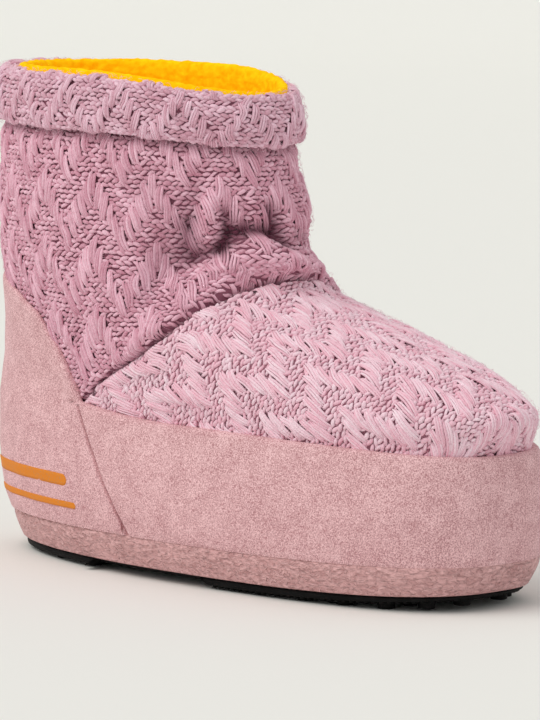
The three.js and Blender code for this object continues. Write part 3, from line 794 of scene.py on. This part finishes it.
def knit_backing(name, colour):
    """Inside of the knit seen between its stitches: matt and uneven, its colour dimmed to dark as painted
    shade between the stitches.
    """
    return patterned(name, (0.0, colour, 1.0, colour), (2.0, 3.0), dim=0.6, Roughness=1.0,
                     Specular_IOR_Level=0.1)


def sewing_thread():
    """Spun polyester thread: matt pink with a fine twist."""
    material, tree, shader, place = blank("spun_polyester_thread")
    twist = add(tree, "TexWave", {"Vector": place, "Scale": per_metre(4.0), "Distortion": 1.0},
                bands_direction="DIAGONAL").outputs["Fac"]
    finish(tree, shader, None, (twist, 0.4, 0.0002), Base_Color=linear("#9d6468"), Roughness=0.8)
    return material


def studio_paper():
    """Seamless matt paper of the studio floor."""
    material, tree, shader, _ = blank("studio_paper")
    finish(tree, shader, Base_Color=linear("#eeeeea"), Roughness=0.9, Specular_IOR_Level=0.1)
    return material


SHAFT_YARN = wool_yarn("brushed_acrylic_yarn_shaft", "#cc869b", "#ffd2e2")
VAMP_YARN = wool_yarn("brushed_acrylic_yarn_vamp", "#f4b6c8", "#ffe6f0")
CUFF_YARN = wool_yarn("brushed_acrylic_yarn_cuff", "#d092a4", "#ffdbea")
# Backings of the knit: its inside, dimmed to a share as painted shade where it shows between the stitches
DARK_SHADED_BACKING = knit_backing("knit_backing_shaft_painted_shade", "#a1677a")
PALE_SHADED_BACKING = knit_backing("knit_backing_vamp_painted_shade", "#c48b9c")
# Brushed polyurethane suede: a short nap in mottled patches, lighter where it is rubbed
SUEDE = patterned("brushed_suede_microfibre", (0.4, "#b47f84", 0.6, "#f9cfd2"), (9, 5.0, 0.7),
                  (0.52, 2.0, 0.7), 0.8, ((0.8, 3.0), 0.6, 0.0004), Roughness=0.9, Sheen_Weight=0.12,
                  Sheen_Roughness=0.45, Specular_IOR_Level=0.15)
# EVA foam moulded with a leathery skin of flat pebbles, slightly satin. Its colour is painted shade in
# part: darker in the pebbles' low spots, from the same noise as the bump
PEBBLES = (2.9, 2.0, 0.5, 0.9, 1.9)
FOAM = patterned("moulded_eva_foam", (0.34, "#c59191", 0.6, "#ebb9b9"), (18, 5.0), PEBBLES, 0.75,
                 (PEBBLES, 1.0, 0.003), Roughness=0.55, IOR=1.48, Specular_IOR_Level=0.4)
# Black vulcanised rubber: satin, with a fine moulded grain and pale dust in it
RUBBER = patterned("black_moulded_rubber", (0.4, "#070707", 0.8, "#191819"), (6, 6.0),
                   bump=((0.6, 2.0), 0.25, 0.0002), Roughness=0.65, IOR=1.52, Specular_IOR_Level=0.12)
# Orange polyester fleece: thick soft pile. Its colour is painted shade in part, lighter on the pile's high
# spots and darker in its dips from the same noise as its bump, and it has a painted glow: it gives off a
# little light of its own
FLEECE = patterned("orange_polyester_fleece", (0.3, "#ffb604", 0.65, "#ffd412"), (3.2, 4.0),
                   bump=((3.2, 4.0), 0.8, 0.001), Roughness=1.0, Specular_IOR_Level=0.05,
                   Emission_Color=linear("#ffba04"), Emission_Strength=0.16)
# Orange screen print on suede: flat and a little glossier, worn through in small specks
INK = patterned("orange_screen_print", (0.36, "#cf8440", 0.46, "#e08200"), (0.9, 4.0),
                bump=((0.9, 4.0), 0.5, 0.0003), Roughness=0.7)
THREAD = sewing_thread()
PAPER = studio_paper()


# Upper: shaft, vamp and cuff

def side_line(angles, ring):
    """Line on the upper seen from the side, as x and z with x rising."""
    return bare(angles, ring)[:, [0, 2]]


HALF_ROUND = np.linspace(math.pi, 0, 60)
EDGE_SHARES = np.linspace(0, 0.96, 40)
COUNTER_LINE = side_line(*(table_value(COUNTER_EDGE, k, EDGE_SHARES) for k in (1, 2)))
RIM_LINE = side_line(HALF_ROUND, RIM)
CUFF_FOOT_LINE = side_line(HALF_ROUND, CUFF_FOOT)
TUCK = 6.0
# Grooves at the sewn seam and under the cuff's foot, and the roll of knit beside the seam
SEAM_GROOVE = 4.4
CUFF_GROOVE = 2.4
ROLL_AWAY = 4.2
ROLL_WIDTH = 3.4


def front_share(points):
    """How far along the seam to its front end, where the knit is drawn in deeper."""
    return soft_step((points[..., 0] + 40) / 45)


def shaft_keep(points):
    above_counter = points[..., 2] > np.interp(points[..., 0] + TUCK, *COUNTER_LINE.T) - TUCK
    return above_counter & (side_distance(points, SEAM_LINE) > -3)


def shaft_sink(points):
    """Drop of the shaft's knit at its sewn edge, and of its groove under the cuff's foot."""
    away = side_distance(points, SEAM_LINE)
    front = front_share(points)
    roll = (0.5 + 2.1 * front) * np.exp(-(((away - ROLL_AWAY) / ROLL_WIDTH) ** 2))
    at_seam = roll - (SEAM_GROOVE + 1.6 * front) * (1 - soft_step((away + 0.2) / 2.0))
    below_foot = np.interp(points[..., 0], *CUFF_FOOT_LINE.T) - points[..., 2]
    return at_seam - CUFF_GROOVE * (1 - soft_step((below_foot + 1.0) / 7.0))


def vamp_keep(points):
    above_rim = points[..., 2] > np.interp(points[..., 0], *RIM_LINE.T) - TUCK
    return above_rim & (side_distance(points, SEAM_LINE) < 1)


def vamp_sink(points):
    front = front_share(points)
    away = side_distance(points, SEAM_LINE)
    return -(SEAM_GROOVE + 1.2 * front) * (1 - soft_step((0.2 - away) / 2.2))


def everywhere(points):
    return np.ones(points.shape[:-1], bool)


def level_face(points):
    return np.zeros(points.shape[:-1])


def shaft_bundles(width, length):
    return zigzag_bundles(width, length, SHAFT_LEANS, *SHAFT_BUNDLE)


def vamp_bundles(width, length):
    return turned_halves(zigzag_bundles(2 * width, length, VAMP_LEANS, *VAMP_BUNDLE))


def cuff_bundles(width, length):
    """The zigzag seen from its other end, as the cuff is turned over."""
    rows = zigzag_bundles(width, length, SHAFT_LEANS, *CUFF_BUNDLE)
    rows[:, 1] = length - rows[:, 1]
    rows[:, 2] *= -1
    return rows


def knit_upper():
    tree = bare_tree()
    shaft = knit_panel("shaft", shaft_chart(tree), shaft_keep, shaft_sink, shaft_bundles,
                       (SHAFT_YARN, DARK_SHADED_BACKING))
    vamp = knit_panel("vamp", vamp_chart(tree), vamp_keep, vamp_sink, vamp_bundles,
                      (VAMP_YARN, PALE_SHADED_BACKING))
    cuff = knit_panel("cuff", cuff_chart(), everywhere, level_face, cuff_bundles,
                      (CUFF_YARN, DARK_SHADED_BACKING))
    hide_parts("upper")
    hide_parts("cuff")


# Fleece lining and insole cover

def fleece_relief(points, size):
    """Uneven height of a pile, from a few crossed waves of that size."""
    x, y, z = (points[..., k] * 2 * math.pi / size for k in range(3))
    waves = np.sin(x + 1.7 * np.sin(0.63 * y + z)) * np.sin(1.3 * y - 0.8 * z + np.sin(0.7 * x))
    return waves + 0.6 * np.sin(2.3 * z + 1.9 * x) * np.sin(2.1 * y + x)


PILE = 1.8


def lining():
    """Fleece inside the upper, from over the collar edge down to the insole."""
    angles = np.linspace(-math.pi, math.pi, 241)[:-1]
    over = collar_strips(angles, LINING_SECTION, 24)
    rings = np.concatenate([np.linspace(EDGE_RING, 8, 42), np.linspace(8, 0.05, 50)[1:]])
    a, r = np.meshgrid(angles, rings, indexing="ij")
    points = np.concatenate([over, skin(a, r, np.full(a.shape, -WALL - PILE))], axis=1)
    normals = unit(np.cross(np.gradient(points, axis=1), np.gradient(points, axis=0)))
    clumps = 0.3 * fleece_relief(points, 9.5) + 0.12 * fleece_relief(points + 3.0, 3.4)
    points = (points + normals * clumps[..., None]).transpose(1, 0, 2)
    faces = grid_faces(*points.shape[:2], closed=True)
    piece = mesh_object("fleece_lining", points.reshape(-1, 3), faces, FLEECE)


INSOLE_TOP = 24.5
# Share of the footbed's size and height against its top
INSOLE_RINGS = [(1.0, -5.0), (1.0, -1.2), (0.985, -0.3), (0.96, 0.0), (0.8, 0.1), (0.55, 0.2), (0.3, 0.2),
                (0.05, 0.2)]


def insole_cover():
    """Fleece-covered footbed, with a softly rounded edge down to the board."""
    angles = np.linspace(-math.pi, math.pi, 161)[:-1]
    rim = skin(angles, np.full(angles.shape, 0.1), np.full(angles.shape, -WALL - 0.8))
    rings = []
    for share, drop in INSOLE_RINGS:
        ring = rim.copy()
        ring[:, 0] = BAND["widest"] + (rim[:, 0] - BAND["widest"]) * share
        ring[:, 1] = rim[:, 1] * share
        ring[:, 2] = INSOLE_TOP + drop + spring_rise(ring[:, 0], TOE_SPRING)
        if drop > -1:
            ring[:, 2] += 0.25 * fleece_relief(ring, 6.0)
        rings.append(ring)
    points = np.concatenate(rings)
    piece = mesh_object("fleece_insole", points, grid_faces(len(rings), len(angles), closed=True), FLEECE)
    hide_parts("insole")


# Suede wrap: rand and heel counter

def seam_angle(ring):
    """Angle where the wrap's outer face meets the butt seam."""
    low = np.full(np.shape(ring), 0.3)
    high = np.full(np.shape(ring), 3.0)
    for _ in range(30):
        middle = (low + high) / 2
        point = wrap_point(middle, ring, np.ones_like(middle))
        before = point[..., 0] + BUTT_SEAM["slope"] * (point[..., 2] - BUTT_SEAM["z"]) > BUTT_SEAM["x"]
        low = np.where(before, middle, low)
        high = np.where(before, high, middle)
    return (low + high) / 2


FOOT_LAP = 1.2


def foot_lap(ring):
    """Drop of the suede's lower edge over the band's shoulder."""
    return FOOT_LAP * np.clip(1 - np.asarray(ring) / 0.08, 0, 1)


# Length along the wrap to the butt seam, the rounding there and half the slit as an angle
RAND_REACH = 130.0
COUNTER_REACH = 170.0
END_RADIUS = 0.9
SLIT_ANGLE = BUTT_SEAM["slit"] / 2 / 60


def rounded_end(distance):
    """Share of the full thickness at a distance from the butt seam."""
    near = np.clip(1 - distance / END_RADIUS, 0, 1)
    return np.sqrt(np.maximum(1 - near ** 2, 0.0))


def end_share(end):
    """Share of the thickness at a butt seam: a rounded edge, and then a wall down into the slit."""
    return np.where(end > 0, 0.6 + 0.4 * end, 0.0)


# Rand's rows up its face: ring and share of its thickness, over the rolled top edge to the knit
RAND_ROWS = np.array([
    [0, 0.9], [0.03, 0.96], [0.06, 0.99], [0.2, 1], [0.45, 1], [0.75, 1], [1.0, 1], [1.25, 1], [1.5, 1],
    [1.7, 1], [1.84, 1], [1.91, 0.99], [1.955, 0.95], [1.985, 0.86], [2.008, 0.7], [2.02, 0.48],
    [2.02, 0.2], [2.0, -0.2],
])


END_SHARES = [0.012, 0.008, 0.0045, 0.002, 0.0005, 0.0]


def seam_columns(count):
    """Even shares from -1 to 1, with extra ones close to both ends."""
    extra = 1 - np.array(END_SHARES)
    return np.concatenate([-extra[:0:-1], np.linspace(-extra[0], extra[0], count), extra[1:]])


def suede_relief(points):
    """Slow swells of the padded wrap, under half a millimetre."""
    return 0.16 * fleece_relief(points, 46.0) + 0.06 * fleece_relief(points + 13.0, 17.0)


def suede_piece(name, angle, ring, thick, end):
    """Piece of the wrap from its places, thickness and rounding at the butt seam."""
    points = wrap_point(angle, ring, thick * end_share(end))
    points += outward(angle, ring) * (suede_relief(points) * end * (thick > 0.9))[..., None]
    points[..., 2] -= foot_lap(ring)
    return mesh_object(name, points.reshape(-1, 3), grid_faces(*ring.shape), SUEDE)


def rand():
    shares = seam_columns(260)
    u, ring = np.meshgrid(shares, RAND_ROWS[:, 0])
    thick = np.repeat(RAND_ROWS[:, 1:2], len(shares), axis=1)
    reach = seam_angle(RAND_ROWS[:, 0])[:, None]
    angle = u * (reach - SLIT_ANGLE)
    end = rounded_end((1 - np.abs(u)) * RAND_REACH)
    piece = suede_piece("suede_rand", angle, ring, thick, end)
    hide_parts("rand")


# Counter's rows: share of its height and of its thickness, over the top edge
COUNTER_ROWS = np.array([
    [0, 0.9], [0.01, 0.96], [0.02, 0.99], [0.05, 1], [0.12, 1], [0.2, 1], [0.28, 1], [0.36, 1], [0.44, 1],
    [0.52, 1], [0.6, 1], [0.68, 1], [0.76, 1], [0.84, 1], [0.9, 1], [0.94, 1], [0.965, 0.97], [0.982, 0.88],
    [0.994, 0.7], [1.0, 0.4], [0.998, 0.0], [0.985, -0.3],
])
SEAM_TOP_RING = 1.96


def heel_counter():
    shares = seam_columns(240)
    away = np.abs(shares)
    reach = table_value(COUNTER_EDGE, 2, away)
    ring = COUNTER_ROWS[:, 0:1] * reach[None, :]
    thick = np.repeat(COUNTER_ROWS[:, 1:2], len(shares), axis=1)
    low_ring = np.minimum(ring, SEAM_TOP_RING)
    foot = math.pi - (math.pi - seam_angle(low_ring) - SLIT_ANGLE) * away
    top = table_value(COUNTER_EDGE, 1, away)[None, :]
    rise = (ring - SEAM_TOP_RING) / np.maximum(reach[None, :] - SEAM_TOP_RING, 1e-6)
    angle = np.where(ring > SEAM_TOP_RING, foot + (top - foot) * np.clip(rise, 0, 1), foot)
    side = np.where(shares < 0, 1.0, -1.0)[None, :]
    end = rounded_end((1 - away) * COUNTER_REACH)[None, :]
    piece = suede_piece("suede_heel_counter", side * angle, ring, thick, end)
    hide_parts("heel_counter")


# Two plain printed bars low on the near side of the heel: start and end angle, lowest and highest z
PRINTED_BARS = [(-2.74, -2.03, 35.6, 40.8), (-2.72, -1.99, 26.2, 29.0)]
INK_RISE = 0.1
HEEL_RADIUS = 95.0


def on_counter(angle, z, rise):
    """Points at a height z, that much proud of the counter's face."""
    rings = np.linspace(0.0, 2.0, 81)
    a, r = np.meshgrid(angle[0], rings, indexing="ij")
    faces = wrap_point(a, r, np.ones_like(a))
    ring = np.stack([np.interp(z[:, k], faces[k, :, 2], rings) for k in range(faces.shape[0])], axis=1)
    points = wrap_point(angle, ring, np.ones_like(angle))
    return points + outward(angle, ring) * (suede_relief(points) + rise)[..., None]


def printed_bars():
    """Bars of orange ink with rounded ends, a tenth of a millimetre thick."""
    parts = []
    for start, end, low, high in PRINTED_BARS:
        share = np.linspace(-1, 1, 90)
        half = (high - low) / 2
        reach = abs(end - start) / 2 * HEEL_RADIUS
        corner_share = np.clip((np.abs(share) * reach - (reach - half)) / half, 0, 1)
        tall = half * np.sqrt(np.maximum(1 - corner_share ** 2, 0.0))
        rows = np.array([-1, -0.98, -0.5, 0, 0.5, 0.98, 1])
        angle = np.broadcast_to((start + end) / 2 + (end - start) / 2 * share, (len(rows), len(share)))
        z = (low + high) / 2 + rows[:, None] * tall[None, :]
        points = on_counter(angle, z, INK_RISE - 0.3 * (np.abs(rows) == 1)[:, None])
        parts.append((points.reshape(-1, 3), grid_faces(*angle.shape)))
    piece = mesh_object("printed_bars", *joined(parts), INK)


def seam_stitch():
    """Short thread that closes the foot of the butt seam on each side."""
    parts = []
    for side in (-1.0, 1.0):
        ring = np.linspace(0.02, 0.22, 9)
        angle = side * seam_angle(ring) + side * np.linspace(0.012, -0.012, 9)
        points = wrap_point(angle, ring, np.ones(9)) + outward(angle, ring) * 0.15
        radius = 0.42 * np.sin(np.linspace(0.15, math.pi - 0.15, 9))
        parts.append(tubes(points[None], outward(angle, ring)[None], radius[None], 8))
    piece = mesh_object("seam_stitch", *joined(parts), THREAD)


# Foam band and rubber sole

def spring_rise(x, rise):
    share = np.maximum(0, (x - BAND["widest"]) / (BAND["front"] - BAND["widest"]))
    return rise * share ** 3


def outline(angle, inset):
    """X and y round the sole, at an inset from the band's top edge."""
    cx, sy = corner(angle, BAND["round_back"], BAND["round_front"])
    reach = np.where(cx >= 0, BAND["front"] - BAND["widest"], BAND["widest"] - BAND["back"])
    return BAND["widest"] + (reach - inset) * cx, (BAND["half"] - inset) * sy


def sole_ring(inset, z, rise, count=320, cut=UNCUT):
    """Ring round the sole, cut off at a lowest and a highest x."""
    x, y = outline(np.linspace(-math.pi, math.pi, count, endpoint=False), inset)
    x = np.clip(x, *cut)
    return np.stack([x, y, z + spring_rise(x, rise)], axis=-1)


def stack(rings):
    """Points and faces of rings lofted one on the other."""
    return np.concatenate(rings), grid_faces(len(rings), len(rings[0]), closed=True)


# Band's profile: inset, height and toe rise, from under its foot over its shoulder to its flat top
BAND_PROFILE = np.array([
    [20, 5.0, 2.6], [7.4, 5.0, 2.6], [5.6, 5.15, 2.6], [4.7, 5.6, 2.6], [4.1, 6.6, 2.55], [3.2, 8.4, 2.4],
    [1.9, 11.2, 2.2], [0.9, 13.8, 2.0], [0.35, 16.0, 1.8], [0.15, 17.4, 1.7], [0.35, 18.3, 1.6],
    [0.9, 18.95, 1.6], [1.8, 19.2, 1.6], [12, 19.2, 1.6], [30, 19.2, 1.6],
])


def foam_band():
    fine = smooth(BAND_PROFILE, np.linspace(0, len(BAND_PROFILE) - 1, 40))
    rings = [sole_ring(inset, z, rise) for inset, z, rise in fine]
    piece = mesh_object("foam_band", *stack(rings), FOAM)
    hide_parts("midsole")


PAD_INSET = BAND_TAPER + 2.4
STUD_INSET = PAD_INSET + 7.5
STUD_RADIUS = 3.5
PAD_RISE = TOE_SPRING + 3.4
SHANK_RISE = TOE_SPRING + 1.8
TOE_LIFT = 5.0
TOE_START = 100.0
LUG_ROOT = 1.2
HEEL_PAD = (-200.0, -50.0)
FOREFOOT_PAD = (14.0, 200.0)
# Inset and height of each ring, from the middle of the bottom round to the middle of the top
PAD_PROFILE = [(60, 1.5), (9, 1.5), (7.6, 1.6), (7, 1.9), (6.7, 2.6), (6.6, 3.6), (6.7, 4.65), (60, 4.65)]
SHANK_PROFILE = [(50, 3), (10.6, 3), (9.6, 3.3), (9.2, 3.9), (9.2, 4.65), (50, 4.65)]
STUD_ANGLES = [0.16, 0.46, 0.74, 0.98, 1.18, 1.36, 2.1, 2.34, 2.6, 2.88]
# Bars across the sole and round treads on its centre line: x and half length, x and radius
BARS = [(36, 27), (52, 29), (88, 27), (104, 22), (-116, 17), (-74, 25)]
BAR_HALF = 2.6
TREADS = [(-95, 12), (70, 13)]


def pad_bottom(x):
    return SOLE_EDGE + spring_rise(x, PAD_RISE)


PAD_BEVEL = 5.0


def sole_layer(profile, rise, cut=UNCUT):
    """Layer of the sole from insets and heights, its toe rise fading from bottom to top."""
    top, bottom = profile[-1][1], profile[0][1]
    rings = []
    for inset, z in profile:
        share = (z - bottom) / (top - bottom)
        bevel = PAD_BEVEL * (1 - share)
        ends = (cut[0] + bevel, cut[1] - bevel)
        rings.append(sole_ring(inset, z, rise + (TOE_SPRING + 1 - rise) * share, cut=ends))
    return stack(rings)


def lug(x, y, half_x, half_y, steps):
    """Moulded lug. Steps are shares of its half size, and heights."""
    turn = np.linspace(0, 2 * math.pi, 36, endpoint=False)
    straight = half_y - half_x
    rings = []
    for share, z in steps:
        px = x + half_x * share * np.cos(turn)
        py = y + half_x * share * np.sin(turn) + np.sign(np.sin(turn)) * straight
        rings.append(np.stack([px, py, np.full(36, z)], axis=-1))
    return stack(rings)


def lug_steps(x, shares=((0.02, 0.0), (0.88, 0.0), (0.97, 0.12), (1.0, 0.4))):
    lift = max(0.0, (x - TOE_START) / (BAND["front"] - TOE_START))
    foot = TOE_LIFT * lift * lift
    top = float(pad_bottom(x)) + LUG_ROOT
    return [(share, foot + z) for share, z in shares] + [(1.0, top)]


GROOVED = ((0.02, 0), (0.3, 0), (0.33, 0.7), (0.47, 0.7), (0.5, 0), (0.7, 0), (0.73, 0.7), (0.82, 0.7),
           (0.85, 0), (0.98, 0), (1, 0.3))
TOOTH_SPACING = 3.4
TOOTH_DEPTH = 0.7
TOOTH_STEPS = ((0.02, 0.0), (0.9, 0.0), (1.0, 0.3), (1.0, 1.6))
TOOTH_INSET = PAD_INSET + 2.8


def stud_places():
    """Middle of each stud, along both edges of the sole."""
    x, y = outline(np.array(STUD_ANGLES), STUD_INSET)
    return [(px, side * py) for px, py in zip(x, y) for side in (-1, 1)]


def tooth_places():
    """Middle of each fine tooth along the forefoot's edge."""
    ring = sole_ring(TOOTH_INSET, 0.0, 0.0, count=900)
    lengths = arc_lengths(ring)
    even = resample(ring, lengths, np.arange(0, lengths[-1], TOOTH_SPACING))
    return even[even[:, 0] > FOREFOOT_PAD[0] + 4]


def joined(parts):
    points, faces, start = [], [], 0
    for part_points, part_faces in parts:
        points.append(part_points)
        faces.append(part_faces + start)
        start += len(part_points)
    return np.concatenate(points), np.concatenate(faces)


def rubber_sole():
    parts = [
        sole_layer(SHANK_PROFILE, SHANK_RISE),
        sole_layer(PAD_PROFILE, PAD_RISE, HEEL_PAD),
        sole_layer(PAD_PROFILE, PAD_RISE, FOREFOOT_PAD),
    ]
    parts += [lug(x, y, STUD_RADIUS, STUD_RADIUS, lug_steps(x)) for x, y in stud_places()]
    parts += [lug(x, 0, BAR_HALF, reach, lug_steps(x)) for x, reach in BARS]
    parts += [lug(x, 0, radius, radius, lug_steps(x, GROOVED)) for x, radius in TREADS]
    for x, y, _ in tooth_places():
        foot = float(pad_bottom(x)) - TOOTH_DEPTH
        parts.append(lug(x, y, 1.0, 1.9, [(share, foot + z) for share, z in TOOTH_STEPS]))
    piece = mesh_object("rubber_sole", *joined(parts), RUBBER)
    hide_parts("outsole")


# Studio: floor, light and camera

CAMERA = {"azimuth": 43.0, "elevation": 6.3, "distance": 2190.0, "roll": 0.8, "target": (5.7, 0.0, 91.8)}
PIXELS_PER_MM = 2.35
FRAME_HEIGHT = 720
SENSOR = 36.0


def studio_floor():
    """Floor that runs up into a backdrop far behind the boot."""
    bend = np.radians(np.linspace(0, 90, 24))
    radius, back = 1500.0, 4200.0
    profile = [(-4500.0, 0.0), (0.0, 0.0)]
    profile += [(back + radius * math.sin(b), radius * (1 - math.cos(b))) for b in bend]
    profile.append((back + radius, 5000.0))
    reach = 7000.0
    turn = Matrix.Rotation(math.radians(CAMERA["azimuth"]), 3, "Z")
    points = [turn @ Vector((side * reach, y, z)) for y, z in profile for side in (-1, 1)]
    floor = mesh_object("studio_floor", np.array(points), grid_faces(len(profile), 2), PAPER)


def towards(azimuth, elevation):
    """Direction from the boot at an azimuth from its near side and an elevation, in degrees."""
    a, e = math.radians(azimuth), math.radians(elevation)
    return Vector((math.sin(a) * math.cos(e), -math.cos(a) * math.cos(e), math.sin(e)))


def soft_sun(name, azimuth, elevation, spread, strength, colour):
    """Distant soft light. Spread is its size in degrees."""
    data = bpy.data.lights.new(name, "SUN")
    data.angle = math.radians(spread)
    data.energy = strength
    data.color = linear(colour)[:3]
    lamp = bpy.data.objects.new(name, data)
    bpy.context.scene.collection.objects.link(lamp)
    lamp.rotation_euler = (-towards(azimuth, elevation)).to_track_quat("-Z", "Y").to_euler()


def studio_light():
    world = bpy.data.worlds.new("studio")
    bpy.context.scene.world = world
    world.use_nodes = True
    sky = world.node_tree.nodes["Background"].inputs
    sky["Color"].default_value = (1.0, 0.998, 0.99, 1.0)
    sky["Strength"].default_value = 0.64
    soft_sun("key", -22, 52, 50, 1.25, "#fffdf8")


def camera():
    back = towards(CAMERA["azimuth"], CAMERA["elevation"])
    r = math.radians(CAMERA["roll"])
    right = towards(CAMERA["azimuth"] + 90, 0)
    up = back.cross(right)
    turned_right = right * math.cos(r) + up * math.sin(r)
    turned_up = up * math.cos(r) - right * math.sin(r)
    data = bpy.data.cameras.new("camera")
    data.sensor_width = SENSOR
    data.lens = PIXELS_PER_MM * CAMERA["distance"] / FRAME_HEIGHT * SENSOR
    data.clip_end = 100
    eye = bpy.data.objects.new("camera", data)
    bpy.context.scene.collection.objects.link(eye)
    turn = Matrix((turned_right, turned_up, back)).transposed().to_4x4()
    spot = (Vector(CAMERA["target"]) + back * CAMERA["distance"]) * MM
    eye.matrix_world = Matrix.Translation(spot) @ turn
    bpy.context.scene.camera = eye
    bpy.context.scene.view_settings.view_transform = "Standard"


camera()
studio_floor()
studio_light()
knit_upper()
lining()
insole_cover()
rand()
heel_counter()
foam_band()
rubber_sole()
printed_bars()
seam_stitch()
